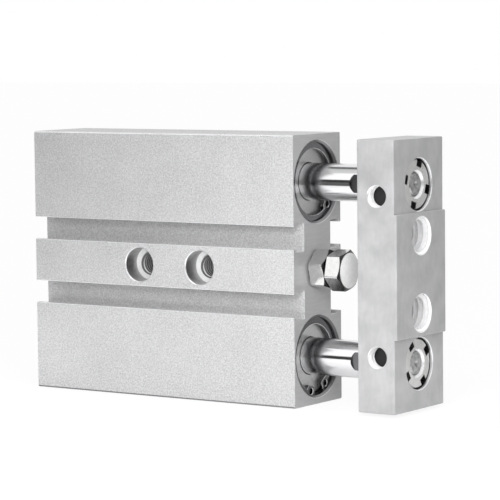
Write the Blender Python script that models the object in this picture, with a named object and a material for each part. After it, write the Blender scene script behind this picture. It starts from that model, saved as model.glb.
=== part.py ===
"""Double piston cylinder: two parallel rods joined by a yoke plate.

Lengths are in metres. +X is the way the rods travel out, +Z runs across the two
rods, and the origin is the middle of the barrel's lower narrow face.
"""

import math

import bmesh
import bpy
from mathutils import Matrix, Vector

# Rods, stroke and bore mouths
STROKE = 0.025
ROD_RADIUS = 0.004
SEAT_STEP = 0.0005            # cap seat radius over bore radius
MOUTH_CHAMFER = 0.0005
RING_SETBACK = 0.001          # end face to retaining ring
RING_THICKNESS = 0.001
RING_GROOVE_DEPTH = 0.0004

# Clearances
FIT_GAP = 0.00005             # round fits, on the radius
FACE_GAP = 0.0001             # between faces that rest on each other

# Barrel profile
WIDE_WALL = 0.000325          # beside a bore's mouth, at the wide faces
NARROW_WALL = 0.00125         # above a bore's mouth, at the narrow faces
SLOT_LAND = 0.0001            # bore mouth to slot mouth, measured along Z
SLOT_MOUTH = 0.0049
SLOT_DEPTH = 0.0041
SLOT_LIP = 0.0008
SLOT_UNDERCUT = 0.0006
LONG_EDGE_RADIUS = 0.00035
SLOT_EDGE_RADIUS = 0.00015

# Fixing holes through the middle bar
HEAD_RADIUS = 0.0037          # counterbore for an M4 screw head
HEAD_DEPTH = 0.0041
HEAD_FLOOR_FALL = 0.0003
HEAD_RIM_CHAMFER = 0.0001
BAR_WALL = 0.00045            # counterbore to slot undercut
FIXING_CORE_RADIUS = 0.002125  # M5 thread core, clears M4
HOLE_SETBACK = 0.02445        # front end face to first hole
HOLE_PITCH = 0.01615

# Air ports and the cross channels that join the two bores
PORT_CORE_RADIUS = 0.0021
PORT_DEPTH = 0.006
PORT_CHAMFER = 0.0003
CHANNEL_RADIUS = 0.0008
DRILL_RADIUS = 0.0006

# Bearing cap, rod seal and bush
CAP_LENGTH = 0.0099
CAP_EDGE = 0.0003
CAP_WALL = 0.001
WIPER_GAP = 0.0003            # cap's front hole over the rod
ROD_SEAL_WIDTH = 0.0032
ROD_SEAL_DEPTH = 0.0021
ROD_SEAL_SLACK = 0.0001
ROD_SEAL_LAND = 0.0007
BUSH_WALL = 0.001
BUSH_END_GAP = 0.0002         # bush to the floor of the cushion's recess
NOSE_LENGTH = 0.0022
NOSE_GAP = 0.0014             # air space round the nose
NOSE_WALL = 0.0006            # nose outside its cushion recess
CUSHION_SINK = 0.001
CUSHION_PROUD = 0.00065
CUSHION_HOLE_GAP = 0.0006     # front cushion over the rod
CUSHION_WIDTH = 0.00135       # from the front cushion's hole to its rim
CUSHION_TAPER = 0.0002

# Sealing ring round each cap
CAP_GROOVE_WIDTH = 0.0019
CAP_GROOVE_DEPTH = 0.0012     # below the cap's outside
FRONT_GROOVE_SETBACK = 0.0056
REAR_GROOVE_SETBACK = 0.0011

# Rear cap
REAR_CAP_LENGTH = 0.004
DISH_RADIUS = 0.0045
DISH_DEPTH = 0.0004
REAR_CUSHION_HOLE = 0.0015

# Piston, its rings and magnet
PISTON_GAP = 0.0001
LIP_SPREAD = 0.0004           # heel of a piston seal below its lip
LIP_GROOVE = 0.001            # depth of the V between a seal's lips
END_LAND = 0.0016
RING_LAND = 0.0012
PISTON_SEAL_WIDTH = 0.0032
PISTON_SEAL_DEPTH = 0.0023
MAGNET_WIDTH = 0.005
MAGNET_DEPTH = 0.0018
MAGNET_SINK = 0.0002          # magnet ring below the piston's outside
GUIDE_WIDTH = 0.0024
GUIDE_DEPTH = 0.0007
GROOVE_SLACK = 0.0001         # each side of a ring in its groove
SPIGOT_RADIUS = 0.0025
SPIGOT_LENGTH = 0.014
SPIGOT_EDGE = 0.0004

# Rod end: wrench flats and threaded stud
ROD_EDGE = 0.0003
FLAT_DEPTH = 0.0005
FLAT_LENGTH = 0.0055
MILL_RADIUS = 0.0026
STUD_RADIUS = 0.0025
STUD_SINK = 0.0003            # stud tip below the nut's face
STUD_EDGE = 0.00035
CENTRE_DRILL_RADIUS = 0.0007
CENTRE_DRILL_DEPTH = 0.0008

# Yoke plate and slotted nuts
YOKE_SETBACK = 0.0162         # barrel end face to yoke, rods in
YOKE_THICKNESS = 0.0089
PAD_RISE = 0.0006
YOKE_END_WALL = 0.00415
YOKE_SIDE_WALL = 0.0046
YOKE_EDGE = 0.0002
NUT_WALL = 0.0012             # stud to the floor of a nut's slot
NUT_THICKNESS = 0.004
NUT_GAP = 0.0002              # round the nut in its recess
NUT_SINK = 0.00035
NUT_EDGE = 0.0003
NUT_THREAD_EDGE = 0.0005
NUT_SLOT_WIDTH = 0.002
NUT_SLOT_DEPTH = 0.0016
RECESS_CHAMFER = 0.00015
PAD_CLEAR = 0.00025           # pad edge to nut recess
PAD_CORE_RADIUS = 0.0034      # M8 thread core
PAD_HOLE_WALL = 0.00175       # pad hole to nut recess
PAD_HOLE_CHAMFER = 0.0004
SIDE_CORE_RADIUS = 0.0021     # M5 thread core
SIDE_HOLE_SHIFT = 0.00205     # from the rod's axis towards the middle
SIDE_HOLE_CHAMFER = 0.0004
SIDE_HOLE_WALL = 0.0003       # hole's floor to nut recess
NUT_TURNS = {"upper": -16.0, "lower": 32.0}

# Stop screw and its lock nut
STOP_RADIUS = 0.0025
STOP_TIP_GAP = 0.001
STOP_WALL = 0.0008            # hole's tip to the cross channel
STOP_MOUTH_CHAMFER = 0.0003
HEX_FLATS = 0.008
HEX_FACE_RADIUS = 0.0038      # flat part of a hexagon's face
HEX_CHAMFER_ANGLE = 30.0
LOCK_NUT_THICKNESS = 0.004
STOP_HEAD_THICKNESS = 0.0038
DOME_RADIUS = 0.0032
DOME_RISE = 0.0004
DOME_STEPS = 3
HEX_TURN = 14.7

# Retaining rings, in degrees from the middle of the gap
RING_GAP_ANGLE = 12.0
RING_LUG_ANGLE = 34.0
RING_HOLE_ANGLE = 22.0
RING_TURNS = {"upper": -20.0, "lower": -78.0}
RING_LUG_DEPTH = 0.0023
RING_LUG_ROUND = 0.0006
RING_THIN = 0.0014
RING_THICK = 0.002
RING_HOLE_RADIUS = 0.0007
RING_HOLE_DEPTH = 0.0012      # hole's centre below the ring's outside

# How finely the round shapes are faceted
BORE_SIDES = 32
RECESS_SIDES = 24
NUT_SIDES = 24
HOLE_SIDES = 20
ROD_SIDES = 18                # rods, and the caps and rings that fit them
PISTON_SIDES = 14
SMALL_SIDES = 12
DRILL_SIDES = 8
CORD_SIDES = 6
MERGE_DISTANCE = 0.000001
SMOOTH_ANGLE = 35.0
DRILL_TIP_ANGLE = 31.0        # slope of a drilled hole's floor

# Sizes worked out from those above, outwards from the rod
CUSHION_RADIUS = ROD_RADIUS + CUSHION_HOLE_GAP + CUSHION_WIDTH
CUSHION_SEAT_RADIUS = CUSHION_RADIUS + FIT_GAP
NOSE_RADIUS = CUSHION_SEAT_RADIUS + NOSE_WALL
BORE_RADIUS = NOSE_RADIUS + NOSE_GAP
SEAT_RADIUS = BORE_RADIUS + SEAT_STEP
MOUTH_RADIUS = SEAT_RADIUS + MOUTH_CHAMFER
GROOVE_RADIUS = SEAT_RADIUS + RING_GROOVE_DEPTH
BAR_HALF = HEAD_RADIUS + BAR_WALL + SLOT_UNDERCUT
AXIS_OFFSET = BAR_HALF + SLOT_MOUTH + SLOT_LAND + MOUTH_RADIUS
BODY_HEIGHT = 2 * (AXIS_OFFSET + MOUTH_RADIUS + NARROW_WALL)
BODY_DEPTH = 2 * (MOUTH_RADIUS + WIDE_WALL)
MID_Z = BODY_HEIGHT / 2

CAP_SETBACK = RING_SETBACK + RING_THICKNESS + FACE_GAP
CAP_RADIUS = SEAT_RADIUS - FIT_GAP
CAP_GROOVE_RADIUS = CAP_RADIUS - CAP_GROOVE_DEPTH
CUSHION_THICKNESS = CUSHION_SINK + CUSHION_PROUD - FACE_GAP
WIPER_RADIUS = ROD_RADIUS + WIPER_GAP
ROD_SEAL_RADIUS = ROD_RADIUS + ROD_SEAL_DEPTH
BUSH_INNER_RADIUS = ROD_RADIUS + FIT_GAP
BUSH_OUTER_RADIUS = ROD_RADIUS + BUSH_WALL
BUSH_SEAT_RADIUS = BUSH_OUTER_RADIUS + FIT_GAP
ROD_SEAL_START = CAP_WALL
ROD_SEAL_END = ROD_SEAL_START + ROD_SEAL_WIDTH
BUSH_START = ROD_SEAL_END + ROD_SEAL_LAND
FRONT_RECESS_FLOOR = CAP_LENGTH + NOSE_LENGTH - CUSHION_SINK

PISTON_RADIUS = BORE_RADIUS - PISTON_GAP
PISTON_LENGTH = (2 * END_LAND + 2 * PISTON_SEAL_WIDTH + MAGNET_WIDTH + GUIDE_WIDTH + 3 * RING_LAND)
FRONT_STACK = CAP_SETBACK + CAP_LENGTH + NOSE_LENGTH + CUSHION_PROUD
REAR_STACK = CAP_SETBACK + REAR_CAP_LENGTH + NOSE_LENGTH + CUSHION_PROUD
BODY_LENGTH = FRONT_STACK + REAR_STACK + PISTON_LENGTH + STROKE + 2 * FACE_GAP
FRONT_X = BODY_LENGTH / 2
REAR_X = -BODY_LENGTH / 2
PISTON_X = REAR_X + REAR_STACK + FACE_GAP
YOKE_X = FRONT_X + YOKE_SETBACK
ROD_LENGTH = YOKE_X - FACE_GAP - (PISTON_X + PISTON_LENGTH + FACE_GAP)

CHANNEL_REACH = NOSE_LENGTH / 2
FRONT_PORT_X = FRONT_X - CAP_SETBACK - CAP_LENGTH - CHANNEL_REACH
REAR_PORT_X = REAR_X + CAP_SETBACK + REAR_CAP_LENGTH + CHANNEL_REACH
STOP_HOLE_RADIUS = STOP_RADIUS + FIT_GAP
STOP_TIP = STOP_HOLE_RADIUS * math.tan(math.radians(DRILL_TIP_ANGLE))
STOP_HOLE_DEPTH = FRONT_X - FRONT_PORT_X - CHANNEL_RADIUS - STOP_WALL - STOP_TIP

NUT_RADIUS = STUD_RADIUS + NUT_WALL + NUT_SLOT_DEPTH
NUT_RECESS_RADIUS = NUT_RADIUS + NUT_GAP
NUT_RECESS_DEPTH = NUT_SINK + NUT_THICKNESS + FACE_GAP
YOKE_HEIGHT = 2 * (AXIS_OFFSET + NUT_RECESS_RADIUS + YOKE_END_WALL)
YOKE_DEPTH = 2 * (NUT_RECESS_RADIUS + YOKE_SIDE_WALL)
PAD_HALF = AXIS_OFFSET - NUT_RECESS_RADIUS - PAD_CLEAR
PAD_HOLE_OFFSET = AXIS_OFFSET - NUT_RECESS_RADIUS - PAD_HOLE_WALL - PAD_CORE_RADIUS
STUD_LENGTH = YOKE_THICKNESS - NUT_SINK - STUD_SINK

SIDES = (("upper", 1), ("lower", -1))

# Colour, roughness and metallic value of each finish
FINISHES = {
    "anodised": ((0.48, 0.48, 0.49), 0.55, 0.6),
    "milled": ((0.56, 0.56, 0.57), 0.4, 0.8),
    "chrome": ((0.75, 0.75, 0.76), 0.08, 1.0),
    "bright_steel": ((0.62, 0.61, 0.59), 0.22, 1.0),
    "dark_steel": ((0.08, 0.08, 0.085), 0.4, 0.9),
    "cap": ((0.33, 0.33, 0.34), 0.5, 0.7),
    "bronze": ((0.42, 0.25, 0.11), 0.45, 0.9),
    "rubber": ((0.02, 0.02, 0.02), 0.7, 0.0),
    "cushion": ((0.45, 0.08, 0.05), 0.6, 0.0),
    "magnet": ((0.05, 0.05, 0.055), 0.6, 0.2),
    "guide": ((0.55, 0.5, 0.4), 0.6, 0.0),
}


def clear_scene():
    for item in list(bpy.data.objects):
        bpy.data.objects.remove(item, do_unlink=True)


def finish_material(name):
    """Principled material for one of the finishes."""
    colour, roughness, metallic = FINISHES[name]
    material = bpy.data.materials.new(name)
    material.use_nodes = True
    shader = material.node_tree.nodes["Principled BSDF"]
    shader.inputs["Base Color"].default_value = (*colour, 1.0)
    shader.inputs["Roughness"].default_value = roughness
    shader.inputs["Metallic"].default_value = metallic
    return material


def mesh_from(bm, name):
    """Closed mesh with outward faces from a bmesh, which is freed."""
    bmesh.ops.recalc_face_normals(bm, faces=bm.faces)
    mesh = bpy.data.meshes.new(name)
    bm.to_mesh(mesh)
    bm.free()
    return mesh


def turned(profile, sides, direction=1):
    """Solid of revolution about X from (distance, radius) points round its section."""
    bm = bmesh.new()
    points = [bm.verts.new((direction * distance, 0.0, radius)) for distance, radius in profile]
    lines = []
    for index, point in enumerate(points):
        on_axis = profile[index - 1][1] == 0 and profile[index][1] == 0
        if not on_axis:
            lines.append(bm.edges.new((points[index - 1], point)))
    bmesh.ops.spin(bm, geom=points + lines, cent=(0, 0, 0), axis=(1, 0, 0),
                   angle=math.tau, steps=sides, use_merge=True)
    bmesh.ops.remove_doubles(bm, verts=bm.verts, dist=MERGE_DISTANCE)
    return mesh_from(bm, "turned")


def flats_at(radius, sides):
    """Corner radius of a round hole's polygon whose flat sides stand at the true radius."""
    return radius / math.cos(math.pi / sides)


def bored(profile, sides):
    """Turned cutter, as wide on its flat sides as the true radii."""
    return turned([(distance, flats_at(radius, sides)) for distance, radius in profile], sides)


def swept(outline, travel):
    """Solid made by moving a flat outline of 3-D points along a vector."""
    bm = bmesh.new()
    base = bm.faces.new([bm.verts.new(point) for point in outline])
    grown = bmesh.ops.extrude_face_region(bm, geom=[base])
    moved = [item for item in grown["geom"] if isinstance(item, bmesh.types.BMVert)]
    bmesh.ops.translate(bm, vec=travel, verts=moved)
    return mesh_from(bm, "swept")


def block(low, high):
    """Box between two corners."""
    outline = [(low[0], low[1], low[2]), (low[0], high[1], low[2]),
               (low[0], high[1], high[2]), (low[0], low[1], high[2])]
    return swept(outline, (high[0] - low[0], 0, 0))


def rounded(corners, steps=2):
    """Flat outline through (a, b, radius) corners, each radius drawn as an arc."""
    outline = []
    for index, (a, b, radius) in enumerate(corners):
        corner = Vector((a, b))
        if radius == 0:
            outline.append(corner)
            continue
        before = (Vector(corners[index - 1][:2]) - corner).normalized()
        after = (Vector(corners[(index + 1) % len(corners)][:2]) - corner).normalized()
        half = before.angle(after) / 2
        centre = corner + (before + after).normalized() * radius / math.sin(half)
        start = corner + before * radius / math.tan(half) - centre
        end = corner + after * radius / math.tan(half) - centre
        sweep = start.angle(end)
        for step in range(steps + 1):
            share = step / steps
            spoke = start * math.sin((1 - share) * sweep) + end * math.sin(share * sweep)
            outline.append(centre + spoke / math.sin(sweep))
    return outline


def shape(target, tool_mesh, operation="DIFFERENCE", place=None):
    """Cut, join or trim an object that still stands at the origin with another mesh."""
    tool = bpy.data.objects.new("tool", tool_mesh)
    tool.matrix_world = place or Matrix()
    bpy.context.collection.objects.link(tool)
    modifier = target.modifiers.new("shape", "BOOLEAN")
    modifier.operation = operation
    modifier.solver = "EXACT"
    modifier.object = tool
    bpy.context.view_layer.update()
    evaluated = target.evaluated_get(bpy.context.evaluated_depsgraph_get())
    result = bpy.data.meshes.new_from_object(evaluated)
    target.modifiers.clear()
    target.data = result
    bpy.data.objects.remove(tool, do_unlink=True)


def piece(name, mesh):
    """New object at the origin."""
    made = bpy.data.objects.new(name, mesh)
    bpy.context.collection.objects.link(made)
    return made


def settle(made, finish, location, parent=None):
    """Give a finished piece its shading, material, place and parent."""
    made.data.name = made.name
    made.data.materials.clear()
    made.data.materials.append(finish_material(finish))
    made.data.shade_smooth()
    made.data.set_sharp_from_angle(angle=math.radians(SMOOTH_ANGLE))
    made.location = location
    if parent:
        made.parent = parent
        made.location = Vector(location) - parent.location
    return made


def guide_empty(name, location):
    """Empty that carries the pieces of one moving body."""
    made = bpy.data.objects.new(name, None)
    made.location = location
    made.empty_display_size = ROD_RADIUS
    bpy.context.collection.objects.link(made)
    return made


def along_y(x, y, z, outward):
    """Place for a mesh turned about X, so that its +X points along outward Y."""
    return Matrix.Translation((x, y, z)) @ Matrix.Rotation(outward * math.pi / 2, 4, "Z")


def blind_hole(radius, depth, chamfer, sides):
    """Drilled hole that opens towards +X at x = 0, with a pointed floor."""
    tip = radius * math.tan(math.radians(DRILL_TIP_ANGLE))
    return bored([(-depth - tip, 0), (-depth, radius), (-chamfer, radius),
                  (chamfer, radius + 2 * chamfer), (chamfer, 0)], sides)


def barrel_outline():
    """Profile of the extrusion across the stroke, as (y, z) points."""
    wide = BODY_DEPTH / 2
    far = BAR_HALF + SLOT_MOUTH
    slot = [(wide, BAR_HALF, SLOT_EDGE_RADIUS),
            (wide - SLOT_LIP, BAR_HALF, 0),
            (wide - SLOT_LIP, BAR_HALF - SLOT_UNDERCUT, 0),
            (wide - SLOT_DEPTH, BAR_HALF - SLOT_UNDERCUT, 0),
            (wide - SLOT_DEPTH, far + SLOT_UNDERCUT, 0),
            (wide - SLOT_LIP, far + SLOT_UNDERCUT, 0),
            (wide - SLOT_LIP, far, 0),
            (wide, far, SLOT_EDGE_RADIUS),
            (wide, BODY_HEIGHT / 2, LONG_EDGE_RADIUS)]
    lower = [(y, -z, radius) for y, z, radius in reversed(slot)]
    side = lower + slot
    other = [(-y, -z, radius) for y, z, radius in side]
    return rounded(side + other)


def bore_cutter():
    """Stepped bore, with cap seats, ring grooves and chamfered mouths at both ends."""
    ring_start = RING_SETBACK - FIT_GAP
    ring_end = RING_SETBACK + RING_THICKNESS + FIT_GAP
    profile = []
    for end, sign, cap_length in ((REAR_X, 1, REAR_CAP_LENGTH), (FRONT_X, -1, CAP_LENGTH)):
        seat_end = CAP_SETBACK + cap_length + FACE_GAP
        steps = [(-MOUTH_CHAMFER, 0),
                 (-MOUTH_CHAMFER, MOUTH_RADIUS + MOUTH_CHAMFER),
                 (MOUTH_CHAMFER, SEAT_RADIUS),
                 (ring_start, SEAT_RADIUS),
                 (ring_start, GROOVE_RADIUS),
                 (ring_end, GROOVE_RADIUS),
                 (ring_end, SEAT_RADIUS),
                 (seat_end, SEAT_RADIUS),
                 (seat_end, BORE_RADIUS)]
        placed = [(end + sign * distance, radius) for distance, radius in steps]
        profile += placed if sign == 1 else placed[::-1]
    return bored(profile, BORE_SIDES)


def fixing_hole_cutter():
    """Through hole with a counterbore from each wide face."""
    half = BODY_DEPTH / 2
    step = half - HEAD_DEPTH
    side = [(step - HEAD_FLOOR_FALL, FIXING_CORE_RADIUS),
            (step, HEAD_RADIUS),
            (half - HEAD_RIM_CHAMFER, HEAD_RADIUS),
            (half + HEAD_RIM_CHAMFER, HEAD_RADIUS + 2 * HEAD_RIM_CHAMFER),
            (half + HEAD_RIM_CHAMFER, 0)]
    other = [(-distance, radius) for distance, radius in reversed(side)]
    return bored(other + side, HOLE_SIDES)


def port_cutter():
    """Tapped port that opens towards +X at x = 0, with a small drill down to the channel."""
    reach = BODY_DEPTH / 2
    return bored([(-reach, 0), (-reach, DRILL_RADIUS), (-PORT_DEPTH, DRILL_RADIUS),
                  (-PORT_DEPTH, PORT_CORE_RADIUS), (-PORT_CHAMFER, PORT_CORE_RADIUS),
                  (PORT_CHAMFER, PORT_CORE_RADIUS + 2 * PORT_CHAMFER), (PORT_CHAMFER, 0)],
                 SMALL_SIDES)


def build_barrel():
    """Extruded barrel with both bores, the fixing holes, the ports and the stop thread."""
    outline = [(REAR_X, y, z) for y, z in barrel_outline()]
    barrel = piece("barrel", swept(outline, (BODY_LENGTH, 0, 0)))
    for _, sign in SIDES:
        shape(barrel, bore_cutter(), place=Matrix.Translation((0, 0, sign * AXIS_OFFSET)))
    for index in range(2):
        hole_x = FRONT_X - HOLE_SETBACK - index * HOLE_PITCH
        shape(barrel, fixing_hole_cutter(), place=along_y(hole_x, 0, 0, 1))
    shape(barrel, blind_hole(STOP_HOLE_RADIUS, STOP_HOLE_DEPTH, STOP_MOUTH_CHAMFER, HOLE_SIDES),
          place=Matrix.Translation((FRONT_X, 0, 0)))
    half_channel = AXIS_OFFSET - BORE_RADIUS + NOSE_GAP / 2
    channel = [(-half_channel, 0), (-half_channel, CHANNEL_RADIUS),
               (half_channel, CHANNEL_RADIUS), (half_channel, 0)]
    upright = Matrix.Rotation(math.pi / 2, 4, "Y")
    for port_x in (FRONT_PORT_X, REAR_PORT_X):
        shape(barrel, turned(channel, SMALL_SIDES), place=Matrix.Translation((port_x, 0, 0)) @ upright)
        shape(barrel, port_cutter(), place=along_y(port_x, BODY_DEPTH / 2, 0, 1))
    settle(barrel, "anodised", (0, 0, MID_Z))


def groove_steps(start, radius):
    """Sealing ring groove of a cap, as profile points from its front to its back."""
    end = start + CAP_GROOVE_WIDTH
    return [(start, radius), (start, CAP_GROOVE_RADIUS), (end, CAP_GROOVE_RADIUS), (end, radius)]


def nose_steps(length):
    """Shoulder, nose and cushion recess at the inner end of a cap."""
    end = length + NOSE_LENGTH
    return [(length, CAP_RADIUS), (length, NOSE_RADIUS), (end, NOSE_RADIUS),
            (end, CUSHION_SEAT_RADIUS), (end - CUSHION_SINK, CUSHION_SEAT_RADIUS)]


def bearing_cap(name):
    """Front cap with rod seal groove, bush seat, sealing ring groove and nose."""
    profile = [(0, WIPER_RADIUS), (0, CAP_RADIUS - CAP_EDGE), (CAP_EDGE, CAP_RADIUS)]
    profile += groove_steps(FRONT_GROOVE_SETBACK, CAP_RADIUS)
    profile += nose_steps(CAP_LENGTH)
    profile += [(FRONT_RECESS_FLOOR, BUSH_SEAT_RADIUS), (BUSH_START, BUSH_SEAT_RADIUS),
                (BUSH_START, WIPER_RADIUS), (ROD_SEAL_END, WIPER_RADIUS),
                (ROD_SEAL_END, ROD_SEAL_RADIUS), (ROD_SEAL_START, ROD_SEAL_RADIUS),
                (ROD_SEAL_START, WIPER_RADIUS)]
    return piece(name, turned(profile, ROD_SIDES, -1))


def rear_cap(name):
    """Blind rear cap with a shallow dish, sealing ring groove and nose."""
    floor = REAR_CAP_LENGTH + NOSE_LENGTH - CUSHION_SINK
    profile = [(DISH_DEPTH, 0), (DISH_DEPTH, DISH_RADIUS - DISH_DEPTH), (0, DISH_RADIUS),
               (0, CAP_RADIUS - CAP_EDGE), (CAP_EDGE, CAP_RADIUS)]
    profile += groove_steps(REAR_GROOVE_SETBACK, CAP_RADIUS)
    profile += nose_steps(REAR_CAP_LENGTH)
    profile += [(floor, 0)]
    return piece(name, turned(profile, ROD_SIDES))


def cap_o_ring(name, setback, direction):
    """Sealing ring, squeezed to an oval between a cap's groove and the seat."""
    inner = flats_at(CAP_GROOVE_RADIUS + FIT_GAP, PISTON_SIDES)
    outer = CAP_RADIUS
    half_width = CAP_GROOVE_WIDTH / 2 - GROOVE_SLACK
    middle = setback + CAP_GROOVE_WIDTH / 2
    profile = []
    for step in range(CORD_SIDES):
        angle = math.tau * step / CORD_SIDES
        profile.append((middle + half_width * math.cos(angle),
                        (inner + outer) / 2 + (outer - inner) / 2 * math.sin(angle)))
    return piece(name, turned(profile, PISTON_SIDES, direction))


def rod_seal(name):
    """Rod seal with an inner sealing lip and a wiper lip that shows round the rod."""
    start = ROD_SEAL_START + ROD_SEAL_SLACK
    end = ROD_SEAL_END - ROD_SEAL_SLACK
    outer = ROD_SEAL_RADIUS - FIT_GAP
    inner = ROD_RADIUS + FIT_GAP
    waist = WIPER_RADIUS + WIPER_GAP
    lip_start = CAP_WALL / 2
    lip_outer = WIPER_RADIUS - FIT_GAP
    profile = [(lip_start, inner), (lip_start, lip_outer), (start, lip_outer), (start, outer),
               (end, outer), (end, inner), (end - WIPER_GAP, waist), (start + WIPER_GAP, waist),
               (start, inner)]
    return piece(name, turned(profile, ROD_SIDES, -1))


def bearing_bush(name):
    """Plain bush that guides the rod."""
    start = BUSH_START + FACE_GAP
    end = FRONT_RECESS_FLOOR - BUSH_END_GAP
    profile = [(start, BUSH_INNER_RADIUS), (start, BUSH_OUTER_RADIUS),
               (end, BUSH_OUTER_RADIUS), (end, BUSH_INNER_RADIUS)]
    return piece(name, turned(profile, ROD_SIDES, -1))


def cushion(name, cap_length, hole_radius, direction):
    """Elastic ring in a cap's nose that the piston stops against."""
    start = cap_length + NOSE_LENGTH - CUSHION_SINK + FACE_GAP
    end = start + CUSHION_THICKNESS
    profile = [(start, hole_radius), (start, CUSHION_RADIUS),
               (end, CUSHION_RADIUS - CUSHION_TAPER), (end, hole_radius)]
    return piece(name, turned(profile, ROD_SIDES, direction))


def retaining_ring(name, turned_by):
    """Internal retaining ring with two lugs, its gap turned up from +Y by some degrees."""
    outer = GROOVE_RADIUS - FIT_GAP

    def polar(degrees, radius, corner=0.0):
        angle = math.radians(degrees + turned_by)
        return (radius * math.cos(angle), radius * math.sin(angle), corner)

    outer_steps = RECESS_SIDES
    inner_steps = SMALL_SIDES
    corners = []
    for step in range(outer_steps + 1):
        corners.append(polar(RING_GAP_ANGLE + (360 - 2 * RING_GAP_ANGLE) * step / outer_steps, outer))
    lug_tip = outer - RING_LUG_DEPTH
    corners.append(polar(-RING_GAP_ANGLE, lug_tip, RING_LUG_ROUND))
    corners.append(polar(-RING_LUG_ANGLE, lug_tip, RING_LUG_ROUND))
    for step in range(inner_steps + 1):
        turn = RING_LUG_ANGLE + (360 - 2 * RING_LUG_ANGLE) * step / inner_steps
        fullness = 1 - abs(2 * step / inner_steps - 1)
        width = RING_THIN + (RING_THICK - RING_THIN) * fullness
        corners.append(polar(-turn, outer - width))
    corners.append(polar(RING_LUG_ANGLE, lug_tip, RING_LUG_ROUND))
    corners.append(polar(RING_GAP_ANGLE, lug_tip, RING_LUG_ROUND))
    outline = [(0, y, z) for y, z in rounded(corners)]
    ring = piece(name, swept(outline, (RING_THICKNESS, 0, 0)))
    drill = [(-RING_THICKNESS, 0), (-RING_THICKNESS, RING_HOLE_RADIUS),
             (2 * RING_THICKNESS, RING_HOLE_RADIUS), (2 * RING_THICKNESS, 0)]
    for degrees in (-RING_HOLE_ANGLE, RING_HOLE_ANGLE):
        y, z, _ = polar(degrees, outer - RING_HOLE_DEPTH)
        shape(ring, turned(drill, DRILL_SIDES), place=Matrix.Translation((0, y, z)))
    return ring


def piston_grooves():
    """Start, width and depth of each groove, from the piston's rear face."""
    grooves = []
    start = END_LAND
    for name, width, depth in (("rear_seal", PISTON_SEAL_WIDTH, PISTON_SEAL_DEPTH),
                               ("magnet", MAGNET_WIDTH, MAGNET_DEPTH),
                               ("guide", GUIDE_WIDTH, GUIDE_DEPTH),
                               ("front_seal", PISTON_SEAL_WIDTH, PISTON_SEAL_DEPTH)):
        grooves.append((name, start, width, depth))
        start += width + RING_LAND
    return grooves


def piston(name):
    """Piston with four ring grooves and a blind hole for the rod's spigot."""
    profile = [(0, 0), (0, PISTON_RADIUS)]
    for _, start, width, depth in piston_grooves():
        floor = PISTON_RADIUS - depth
        profile += [(start, PISTON_RADIUS), (start, floor),
                    (start + width, floor), (start + width, PISTON_RADIUS)]
    hole_radius = flats_at(SPIGOT_RADIUS + FIT_GAP, PISTON_SIDES)
    hole_floor = PISTON_LENGTH - SPIGOT_LENGTH - 2 * FACE_GAP
    profile += [(PISTON_LENGTH, PISTON_RADIUS), (PISTON_LENGTH, hole_radius),
                (hole_floor, hole_radius), (hole_floor, 0)]
    return piece(name, turned(profile, PISTON_SIDES))


def groove_ring(name, start, width, inner, outer):
    """Plain ring in a piston groove."""
    low = start + GROOVE_SLACK
    high = start + width - GROOVE_SLACK
    profile = [(low, inner), (low, outer), (high, outer), (high, inner)]
    return piece(name, turned(profile, PISTON_SIDES))


def lip_seal(name, start, facing):
    """Piston seal whose outer lip spreads towards the air side."""
    inner = PISTON_RADIUS - PISTON_SEAL_DEPTH + FIT_GAP
    lip = BORE_RADIUS - FIT_GAP
    valley = (inner + lip) / 2
    middle = start + PISTON_SEAL_WIDTH / 2
    half = PISTON_SEAL_WIDTH / 2 - GROOVE_SLACK
    profile = [(-half, inner), (-half, lip - LIP_SPREAD), (half, lip),
               (half - LIP_GROOVE, valley), (half, inner + LIP_SPREAD), (half, inner)]
    placed = [(middle + facing * distance, radius) for distance, radius in profile]
    return piece(name, turned(placed, PISTON_SIDES))


def piston_rod(name):
    """Rod with a spigot in the piston, wrench flats, and a stud through the yoke."""
    profile = [(-ROD_LENGTH - SPIGOT_LENGTH, 0),
               (-ROD_LENGTH - SPIGOT_LENGTH, SPIGOT_RADIUS - SPIGOT_EDGE),
               (-ROD_LENGTH - SPIGOT_LENGTH + SPIGOT_EDGE, SPIGOT_RADIUS),
               (-ROD_LENGTH, SPIGOT_RADIUS),
               (-ROD_LENGTH, ROD_RADIUS),
               (-ROD_EDGE, ROD_RADIUS),
               (0, ROD_RADIUS - ROD_EDGE),
               (0, STUD_RADIUS),
               (STUD_LENGTH - STUD_EDGE, STUD_RADIUS),
               (STUD_LENGTH, STUD_RADIUS - STUD_EDGE),
               (STUD_LENGTH, CENTRE_DRILL_RADIUS),
               (STUD_LENGTH - CENTRE_DRILL_DEPTH, 0)]
    rod = piece(name, turned(profile, ROD_SIDES))
    mill_x = MILL_RADIUS - FLAT_LENGTH
    outline = [(ROD_EDGE, MILL_RADIUS), (ROD_EDGE, -MILL_RADIUS)]
    for step in range(SMALL_SIDES + 1):
        angle = -math.pi / 2 - math.pi * step / SMALL_SIDES
        outline.append((mill_x + MILL_RADIUS * math.cos(angle), MILL_RADIUS * math.sin(angle)))
    for sign in (1, -1):
        flat_y = sign * (ROD_RADIUS - FLAT_DEPTH)
        shape(rod, swept([(x, flat_y, z) for x, z in outline], (0, sign * ROD_RADIUS, 0)))
    return rod


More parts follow.
